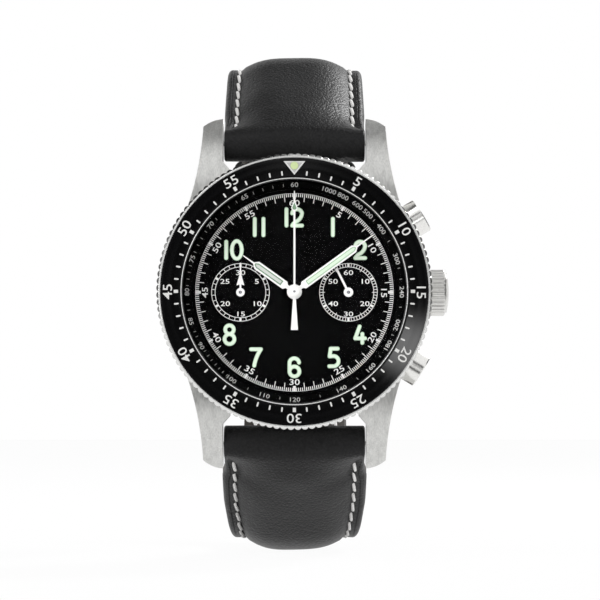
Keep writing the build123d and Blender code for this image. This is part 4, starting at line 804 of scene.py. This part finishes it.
# %% borders of the luminous paint, with painted shade on the hands
def border_line(part, width, name, shade, body):
    same_place = 1e-7
    lift = 0.00001
    to_the_front = -0.9
    shape = bmesh.new()
    shape.from_mesh(parts[part].data)
    bmesh.ops.remove_doubles(shape, verts=shape.verts, dist=same_place)
    low = [face for face in shape.faces if face.normal.y > to_the_front]
    bmesh.ops.delete(shape, geom=low, context="FACES")
    top = shape.faces[:]
    strip = set(bmesh.ops.inset_region(
        shape, faces=top, thickness=width / 1000, use_boundary=True, use_even_offset=True)["faces"])
    bmesh.ops.delete(shape, geom=[face for face in shape.faces if face not in strip], context="FACES")
    for point in shape.verts:
        point.co.y -= lift
    brighter = tuple(1.25 * v for v in shade)
    made = make_object(name, shape, finish(name, speckle, chalk, shade, brighter, chalk_rough, 0.002))
    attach(made, body)
    print(name, "has", len(made.data.polygons), "faces")


# On the two hands this darker line is painted shade from the raised frame.
border_line("hour_hand_lume", 0.16, "hour_lume_painted_shade", (0.12, 0.24, 0.13), "hour_work")
border_line("minute_hand_lume", 0.12, "minute_lume_painted_shade", (0.3, 0.48, 0.3), "minute_work")
border_line("hour_numerals", 0.1, "numeral_border", (0.5, 0.68, 0.48), "case")

# %% sub-dial print
register_height = 7.32
register_reach = 8.24
inner_line, outer_line = 3.87, 4.41
figure_places = ((0, 3.02), (2.5, 1.68), (2.5, -1.72), (0, -3.3), (-2.32, -1.72), (-2.36, 1.68))
register_print = Print(lambda x, y: register_height)
for side, divisions, big in ((-register_reach, 30, 5), (register_reach, 60, 10)):
    centre = (side, 0)
    for reach in (inner_line, outer_line):
        register_print.circle(reach, 0.09, centre, steps=120)
    for k in range(divisions):
        minutes = k * 60 / divisions
        if k % big == 0:
            register_print.tick(inner_line, outer_line, minutes, 0.34, centre)
            figure_x, figure_y = figure_places[k * 6 // divisions]
            words = str(k or divisions)
            register_print.figure(words, 0.74, side + figure_x, figure_y, weight=0.004, stretch=1.45)
        else:
            foot = 3.6 if divisions == 60 and k % 5 == 0 else inner_line
            register_print.tick(foot, outer_line, minutes, 0.09, centre)
register_print.done("register_print", print_white, "case")

# %% [markdown]
# The sloping ring round the dial carries a speed scale: a figure stands where the hand
# points when a measured distance took that many parts of an hour, so 120 stands at half
# a minute. Its thin grey figures follow that rule, but for the last one beside the top,
# which stands a little before its place.

# %% flange print
last_speed, last_minute = 1000, 3.1
speed_radius, tick_foot, tick_head = 16.36, 16.12, 16.5
speeds = [*range(60, 91, 5), *range(100, 121, 10), *range(140, 201, 20), 240]
speeds += [*range(300, 601, 100), 800, last_speed]
flange_print = Print(cone(15.7, 7.65, 16.8, 9.9), thickness=0.02, sink=0.02)
for speed in speeds:
    minute = last_minute if speed == last_speed else 3600 / speed % 60
    place = round_dial(speed_radius, minute)
    flange_print.figure(str(speed), 0.62, *place, turn=upright(minute), stretch=1.36)
unnamed = [*range(61, 65), *range(66, 70), *range(71, 75), *range(76, 80), 82, 83, 87, 88]
unnamed += [91.3, 92.5, 93.7, 95, 96.2, 97.4, 98.6, 105, 115, 130, 150, 170, 190, 220, 260]
unnamed += [280, 350, 450]
for speed in unnamed:
    flange_print.tick(tick_foot, tick_head, 3600 / speed, 0.06)
flange_print.done("flange_print", print_grey, "case")

# %% [markdown]
# The strap has two halves. Each follows a route in the side view: from the spring bar
# steeply down beside the case, then round the wrist. The route is made of straight and
# evenly curved stretches, the same as in the CAD, so the leather lies where it should.
# A section drawn across the strap is carried along that route.

# %% strap route
bar_reach, bar_height = 23.2, 2.6


class Route:
    """Where the strap's middle layer runs, as (length, turn in degrees) stretches."""

    def __init__(self, heading, stretches, side):
        self.side = side
        self.spans = []
        y, z, along = bar_reach, bar_height, 0.0
        for length, turn in stretches:
            self.spans.append((along, length, y, z, heading, turn))
            y, z, heading = self.walk(y, z, heading, turn, length, length)
            along += length
        self.length = along

    @staticmethod
    def walk(y, z, heading, turn, length, step):
        """Where a step along a stretch ends: y, z and the new heading."""
        angle = turn * step / length
        half = radians(angle) / 2
        chord = step if half == 0 else step * sin(half) / half
        direction = radians(heading) + half
        return y + chord * cos(direction), z + chord * sin(direction), heading + angle

    def at(self, along):
        for start, length, y, z, heading, turn in self.spans:
            if along <= start + length or start + length >= self.length:
                return self.walk(y, z, heading, turn, length, along - start)

    def point(self, across, along, height):
        """A place on the strap in scene metres; before 0 and past the end, along is an angle."""
        y, z, heading = self.at(min(max(along, 0), self.length))
        over = along if along < 0 else max(along - self.length, 0)
        angle = radians(heading) - over
        y -= height * sin(angle)
        z += height * cos(angle)
        return spot(across, y * self.side, z)


short_route = Route(-62.0, ((23.0, 0.0), (8.8, -28.0), (12.0, -35.0), (31.2, 0.0)), 1)
long_route = Route(-61.0, ((24.5, 0.0), (9.6, -29.0), (29.3, -28.0), (28.3, -18.0), (28.3, -18.0)), -1)
print("strap lengths", short_route.length, long_route.length)

# %% [markdown]
# The strap narrows from the lugs to the buckle, evenly as seen from the front. The long
# half ends in a rounded point. Just past the lugs the leather springs out a little.

# %% strap widths
wide, narrow = 10.85, 9.0
tip_length = 11.0
tip_bulge = 0.62


def ease(value, low, high):
    """0 below low, 1 above high, and a soft S between."""
    share = min(max((value - low) / (high - low), 0), 1)
    return share * share * (3 - 2 * share)


def circle_through(a, b, c):
    """The centre and radius of the circle through three (x, y) points."""
    (ax, ay), (bx, by), (cx, cy) = a, b, c
    d = 2 * (ax * (by - cy) + bx * (cy - ay) + cx * (ay - by))
    aa, bb, cc = ax * ax + ay * ay, bx * bx + by * by, cx * cx + cy * cy
    x = (aa * (by - cy) + bb * (cy - ay) + cc * (ay - by)) / d
    y = (aa * (cx - bx) + bb * (ax - cx) + cc * (bx - ax)) / d
    return x, y, hypot(ax - x, ay - y)


tip_x, tip_y, tip_radius = circle_through(
    (narrow, 0.0), (narrow * tip_bulge, tip_length * tip_bulge), (0.0, tip_length))


def half_width(route, along):
    """Half the strap's width at this length from the spring bar."""
    past = along - (route.length - tip_length)
    if route is long_route and past > 0:
        rest = tip_radius ** 2 - (min(past, tip_length) - tip_y) ** 2
        return max(tip_x + sqrt(max(rest, 0)), 0.0)
    taper_start, taper_end = (30.0, 44.0) if route is short_route else (18.0, 55.0)
    z = route.at(max(min(along, route.length), 0))[1]
    head, foot = route.at(taper_start)[1], route.at(taper_end)[1]
    width = narrow + (wide - narrow) * min(max((z - foot) / (head - foot), 0), 1)
    if along > taper_end:
        width = narrow
    spread, last = (0.12, 30.0) if route is short_route else (0.45, 42.0)
    return width + spread * ease(along, 7.0, 10.0) * (1 - ease(along, 11.0, last))


for along in (0, 40, 75, 109, 115, 119):
    print("long half at", along, "mm is", round(2 * half_width(long_route, along), 2), "mm wide")

# %% [markdown]
# The padded leather could be inflated with a cloth simulation, but a strap is stiff and
# its swell is the same every time, so its section is drawn directly. From the edge
# inwards: a rounded rim, a creased line, the sunken line of the stitches, and the swell
# of the padding. Near the spring bar the border rises into the fold round the bar.
# Heights are measured up from the middle layer: the leather is 1.3 mm thick at its
# border, and the padding under it lifts the middle to almost 4 mm near the case.

# %% leather section
leather_thick = 1.3
bar_wrap = 2.85
border = 2.3
stitch_inset = 1.95
stitch_drop = 0.26
full_rim = 0.8
short_crown = (
    (-3.5, bar_wrap), (6.5, 3.75), (23.0, 3.7), (31.8, 3.2), (39.0, 1.9), (42.5, 1.4))
long_crown = (
    (-3.5, bar_wrap), (6.5, 3.75), (24.5, 3.7), (34.1, 3.3), (50.0, 2.3), (60.0, 1.4))
pressed_lines = (
    (0.9, 0.0), (0.96, 0.1), (1.0, 0.11), (1.04, 0.1), (1.1, 0.0), (1.45, 0.03), (1.75, 0.2),
    (stitch_inset, stitch_drop), (2.15, 0.2))


def along_table(table, along):
    """The table's height at this length, with soft steps between its rows."""
    if along <= table[0][0]:
        return table[0][1]
    for (a, low), (b, high) in zip(table, table[1:]):
        if along <= b:
            return low + (high - low) * ease(along, a, b)
    return table[-1][1]


def unrolled(along):
    """Before 0 the place is an angle round the bar; this makes it a length."""
    return along * bar_wrap if along < 0 else along


def border_height(along, end_wrap, length):
    """How high the leather's border lies; end_wrap is its height where it folds back."""
    high = bar_wrap + (leather_thick - bar_wrap) * ease(unrolled(along), -2.6, 4.2)
    if end_wrap:
        high += (end_wrap - leather_thick) * ease(along, length - 4, length - 0.5)
    return high


def section(route, along, crown, end_wrap, power):
    """(across, height) points over the leather from its right foot to its left foot."""
    inside = min(max(along, 0), route.length)
    w = half_width(route, inside)
    top = border_height(min(along, route.length), end_wrap, route.length)
    swell = max(along_table(crown, unrolled(along)), top)
    power = 2.2 + (power - 2.2) * ease(inside, 2.0, 14.0)
    pressed = ease(inside, 1.0, 3.5) * (1 - ease(inside, route.length - 12, route.length - 8))
    squeeze = min(1, w / 3.2) * (0.35 + 0.65 * ease(inside, 0.5, 7.0))
    rim = min(0.35 + 0.45 * ease(inside, 1.0, 9.0), w * 0.5)
    rim_high = rim * 1.4
    foot = 0.0 if 0 <= along <= route.length else 0.95
    points = [(w, foot), (w, max(top - rim_high, foot + 0.1))]
    for k in range(1, 6):
        turn = pi / 2 * k / 5
        points.append((w - rim + rim * cos(turn), top - rim_high + rim_high * sin(turn)))
    for inset, drop in pressed_lines:
        points.append((w - rim - (inset - full_rim) * squeeze, top - drop * pressed))
    hump = w - border * squeeze
    soft_foot = 0.35
    for k in range(14):
        q = 1 - k / 13
        rise = 1 - q ** power
        if rise < soft_foot:
            rise = soft_foot * ease(rise, 0, soft_foot)
        crease = 0.1 * pressed if k == 0 else 0
        points.append((hump * q, top - crease + (swell - top) * rise))
    return points + [(-x, h) for x, h in points[-2::-1]]


print("a section has", len(section(short_route, 20, short_crown, 0, 4)), "points")

# %% [markdown]
# Sections are set up at many stations along the route and joined by faces. The same
# loop makes hide and lining. A little soft noise moves the hide's surface by hundredths
# of a millimetre, because no sewn leather is quite even. Holes and the slot for the
# buckle's tongue are cut last with a Boolean modifier, which keeps their walls clean.

# %% sweep along the route
full_wrap = 2.6


def smooth_object(name, shape, look, sharp=50):
    """An object with soft shading, but crisp where its faces meet at more than this angle."""
    bmesh.ops.recalc_face_normals(shape, faces=shape.faces)
    made = make_object(name, shape, look)
    for face in made.data.polygons:
        face.use_smooth = True
    made.data.set_sharp_from_angle(angle=radians(sharp))
    return made


def sweep(name, route, places, outline, look, unevenness=0.0):
    """Skin closed outlines(along) of (across, height) points, set up along the route."""
    shape = bmesh.new()
    rings = []
    for along in places:
        ring = []
        for x, h in outline(along):
            if unevenness and h > 0.5:
                seed = Vector((x * 0.12, along * 0.12, route.side * 5.0))
                h += unevenness * noise.noise(seed)
            ring.append(shape.verts.new(route.point(x, along, h)))
        rings.append(ring)
    join_rings(shape, rings)
    return smooth_object(name, shape, look)


def stations(route, end_wrap):
    """Places along the route; the folds before 0 and past the end are angles in radians."""
    places = [-full_wrap * (1 - k / 10) for k in range(10)]
    count = ceil(route.length / 1.1)
    places += [route.length * k / count for k in range(count + 1)]
    if end_wrap:
        return places + [route.length + full_wrap * (k + 1) / 8 for k in range(8)]
    tail = [route.length - short for short in (0.6, 0.3, 0.12, 0.02)]
    return [p for p in places if p < route.length - 0.7] + tail


print("stations on the short half:", len(stations(short_route, True)))

# %% [markdown]
# Black calf leather: a fine pebbled grain, a satin polish that is a little uneven, and a
# body colour that is not quite black. The lining is a smoother, browner leather. The
# thread is white cotton with a fine, uneven grain.

# %% leather and thread finishes
leather = finish(
    "black_leather", grain, {"Cells": 3200.0},
    (0.01, 0.01, 0.0103), (0.022, 0.022, 0.0226), (0.32, 0.46), 0.09,
    Specular_IOR_Level=0.13)
lining_leather = finish(
    "lining_leather", grain, {"Cells": 1700.0},
    (0.03, 0.026, 0.022), (0.06, 0.052, 0.045), (0.5, 0.7), 0.03,
    Specular_IOR_Level=0.35)
thread = finish(
    "white_thread", brushed, {"Scale": (5200.0, 5200.0, 5200.0)},
    (0.78, 0.77, 0.75), (0.98, 0.97, 0.96), (0.55, 0.75), 0.04)
print("for the strap:", leather.name, lining_leather.name, thread.name)

# %% the two hides
def hide(name, route, crown, end_wrap, power, replaced):
    made = sweep(
        name, route, stations(route, end_wrap),
        lambda along: section(route, along, crown, end_wrap, power), leather, unevenness=0.12)
    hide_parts(*replaced)
    print(name, "has", len(made.data.polygons), "faces")
    return made


short_hide = hide(
    "short_hide", short_route, short_crown, 1.9, 3.0, ("strap_short_leather", "strap_short_padding"))
long_hide = hide(
    "long_hide", long_route, long_crown, 0, 3.2, ("strap_long_leather", "strap_long_padding"))

# %% their linings
lining_thick = 1.2
lining_start = 2.4


def back_outline(route, along):
    """The lining's outline: a flat top under the leather and rounded lower corners."""
    w = half_width(route, along) - 0.04
    rim = min(0.4, w * 0.4)
    corner = []
    for k in range(5):
        turn = k * pi / 8
        corner.append((w - rim + rim * cos(turn), -lining_thick + rim - rim * sin(turn)))
    return [(w, 0.02)] + corner + [(-x, h) for x, h in corner[::-1]] + [(-w, 0.02)]


def back(name, route, end, replaced):
    count = ceil((end - lining_start) / 1.2)
    places = [lining_start + (end - lining_start) * k / count for k in range(count + 1)]
    if route is long_route:
        places = places[:-1] + [route.length - 0.5, route.length - 0.15, route.length - 0.03]
    made = sweep(name, route, places, lambda along: back_outline(route, along), lining_leather)
    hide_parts(replaced)
    print(name, "has", len(made.data.polygons), "faces")
    return made


short_back = back("short_back", short_route, short_route.length - 1.7, "strap_short_lining")
long_back = back("long_back", long_route, long_route.length, "strap_long_lining")

# %% holes and the tongue's slot
def cut(piece, cutter):
    """Take the cutter out of the piece and throw the cutter away."""
    step = piece.modifiers.new("cut", "BOOLEAN")
    step.object = cutter
    step.solver = "EXACT"
    bpy.context.view_layer.update()
    seen = piece.evaluated_get(bpy.context.evaluated_depsgraph_get())
    mesh = bpy.data.meshes.new_from_object(seen)
    piece.modifiers.clear()
    piece.data = mesh
    bpy.data.objects.remove(cutter)
    print(piece.name, "was cut and has", len(mesh.polygons), "faces")


def hole_punch(radius, places, route):
    """Round pins through the strap at these places."""
    shape = bmesh.new()
    for along in places:
        base = route.point(0, along, 0)
        up = (route.point(0, along, 1) - base).normalized()
        turn = up.to_track_quat("Z", "Y").to_matrix().to_4x4()
        bmesh.ops.create_cone(
            shape, cap_ends=True, segments=32, radius1=radius / 1000, radius2=radius / 1000,
            depth=0.008, matrix=Matrix.Translation(base) @ turn)
    return make_object("punch", shape)


def slot_block(route, half, length):
    """A block that reaches this far into the strap's end and stands out past it."""
    past_end = 4
    through = 5
    base = route.point(0, route.length, 0)
    forward = (base - route.point(0, route.length - 1, 0)).normalized()
    up = (route.point(0, route.length, 1) - base).normalized()
    shape = bmesh.new()
    corners = []
    for ahead in (-length, past_end):
        for across in (-half, half):
            for height in (-through, through):
                place = base + forward * ahead / 1000 + up * height / 1000
                corners.append(shape.verts.new(place + Vector((across / 1000, 0, 0))))
    for face in ((0, 1, 3, 2), (4, 6, 7, 5), (0, 4, 5, 1), (2, 3, 7, 6), (1, 5, 7, 3), (0, 2, 6, 4)):
        shape.faces.new([corners[i] for i in face])
    bmesh.ops.recalc_face_normals(shape, faces=shape.faces)
    return make_object("slot_cutter", shape)


first_hole, hole_pitch = 72, 6.2
hole_places = [first_hole + hole_pitch * k for k in range(6)]
for piece in (long_hide, long_back):
    cut(piece, hole_punch(0.95, hole_places, long_route))
for piece in (short_hide, short_back):
    cut(piece, slot_block(short_route, 1.3, 6.0))
for piece, body, slot in (
        (short_hide, "strap_short", "leather_black"), (long_hide, "strap_long", "leather_black"),
        (short_back, "strap_short", "lining_leather"), (long_back, "strap_long", "lining_leather")):
    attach(piece, body)

# %% [markdown]
# Saddle stitches: each is a short bow of thick thread whose ends dive into the leather,
# laid a little askew, because the needle comes up beside the thread. They follow the
# edge at a fixed distance, round the tip too, on the top and on the lining.

# %% the seam's line
def seam_line(route, side, inset, start, end):
    """(across, along) points inside the strap's edge, straight beside the lugs."""
    past_lugs = 10.5
    seams_apart = 0.25
    steps = 500
    edge = []
    for k in range(steps + 1):
        along = start + (end - start) * k / steps
        edge.append((side * half_width(route, max(along, past_lugs)), along))
    line = []
    for (x0, s0), (x1, s1) in zip(edge, edge[1:]):
        run = hypot(x1 - x0, s1 - s0) or 1
        nx, ns = -(s1 - s0) / run, (x1 - x0) / run
        if nx * side > 0:
            nx, ns = -nx, -ns
        x, s = (x0 + x1) / 2 + nx * inset, (s0 + s1) / 2 + ns * inset
        if x * side > seams_apart:
            line.append((x, s))
    return line


def walk_line(line, pitch):
    """Points and directions every pitch along a line of points."""
    found, left = [], pitch / 2
    for (x0, s0), (x1, s1) in zip(line, line[1:]):
        run = hypot(x1 - x0, s1 - s0)
        while left <= run and run > 0:
            share = left / run
            found.append((x0 + (x1 - x0) * share, s0 + (s1 - s0) * share,
                          atan2(x1 - x0, s1 - s0)))
            left += pitch
        left -= run
    return found


print("seam points:", len(seam_line(long_route, 1, stitch_inset, 3.6, long_route.length)))

# %% stitches
stitch_pitch = 3.4
stitch_half = 1.6
thread_half = 0.28
bow_high, end_dive = 0.18, 0.4
askew = 0.17
thread_sides = 8


def stitch(shape, route, x, s, angle, top, sign, lean):
    """One bow of thread, a little shorter than the pitch."""
    rings = []
    for k in range(9):
        t = -1 + k / 4
        bow = bow_high - end_dive * abs(t) ** 5
        swell = thread_half * (1 - 0.4 * abs(t) ** 4)
        step = t * stitch_half
        px = x + step * sin(angle) + lean * t * cos(angle)
        ps = s + step * cos(angle) - lean * t * sin(angle)
        ring = []
        for m in range(thread_sides):
            turn = 2 * pi * m / thread_sides
            across = swell * cos(turn)
            height = (top + bow + swell * 0.8 * sin(turn)) * sign
            place = route.point(px + across * cos(angle), ps - across * sin(angle), height)
            ring.append(shape.verts.new(place))
        rings.append(ring)
    join_rings(shape, rings)


def sew(name, route, start, end, body):
    """Both seams of a strap half, on the leather and, away from the bar, on the lining."""
    lining_side = 1.14
    clear_of_bar = 6
    shape = bmesh.new()
    count = 0
    lean = -askew * route.side
    for side in (-1, 1):
        seam = seam_line(route, side, stitch_inset, start, end)
        for x, s, angle in walk_line(seam, stitch_pitch):
            top = border_height(s, 0, route.length) - stitch_drop * ease(s, 1.0, 3.5)
            stitch(shape, route, x, s, angle, top, 1, lean)
            if s > clear_of_bar:
                stitch(shape, route, x, s, angle, lining_side, -1, -lean)
            count += 1
    made = smooth_object(name, shape, thread, sharp=80)
    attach(made, body)
    print(name, "has", count, "stitches on top")


sew("short_stitches", short_route, 1.4, short_route.length - 4, "strap_short")
sew("long_stitches", long_route, 3.6, long_route.length - 0.1, "strap_long")

# %% [markdown]
# Two keepers hold the strap's tail: a fixed loop near the buckle and a loose one. Each
# is a strip of the same leather, bent into a flat ring with rounded corners. The strip's
# section, with soft edges, is carried round that ring.

# %% keepers
def corners_round(half, low, high, radius, steps):
    """Round a rectangle's four corners: each corner's middle and the way outwards."""
    for x, y, first in ((half - radius, high - radius, 0), (-half + radius, high - radius, 90),
                        (-half + radius, low + radius, 180), (half - radius, low + radius, 270)):
        for k in range(steps + 1):
            turn = radians(first + 90 * k / steps)
            yield x, y, cos(turn), sin(turn)


def keeper(name, place, length, under, body, replaced):
    """A leather loop round the strap; under is how far it hangs below the lining."""
    half, wall, corner, edge = 9.35, 1.15, 0.6, 0.32
    low, high = -lining_thick - under, leather_thick + 2.8
    profile = []
    for x, y, out_x, out_y in corners_round(length / 2, 0, wall, edge, 4):
        a, t = x + edge * out_x, y + edge * out_y
        crown = 0.14 * (1 - (a / (length / 2)) ** 2) if t > wall / 2 else 0
        profile.append((a, t + crown - 0.1))
    shape = bmesh.new()
    rings = []
    for x, y, out_x, out_y in corners_round(half, low, high, corner, 6):
        ring = []
        for a, t in profile:
            point = short_route.point(x + out_x * (corner + t), place + a, y + out_y * (corner + t))
            ring.append(shape.verts.new(point))
        rings.append(ring)
    join_rings(shape, rings, closed=True)
    made = smooth_object(name, shape, leather)
    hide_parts(replaced)
    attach(made, body)
    print(name, "has", len(made.data.polygons), "faces")


keeper(
    "loose_keeper_loop", place=52.0, length=6.0, under=0.3,
    body="free_keeper", replaced="free_keeper")
keeper(
    "fixed_keeper_loop", place=66.5, length=5.0, under=0.0,
    body="strap_short", replaced="fixed_keeper")
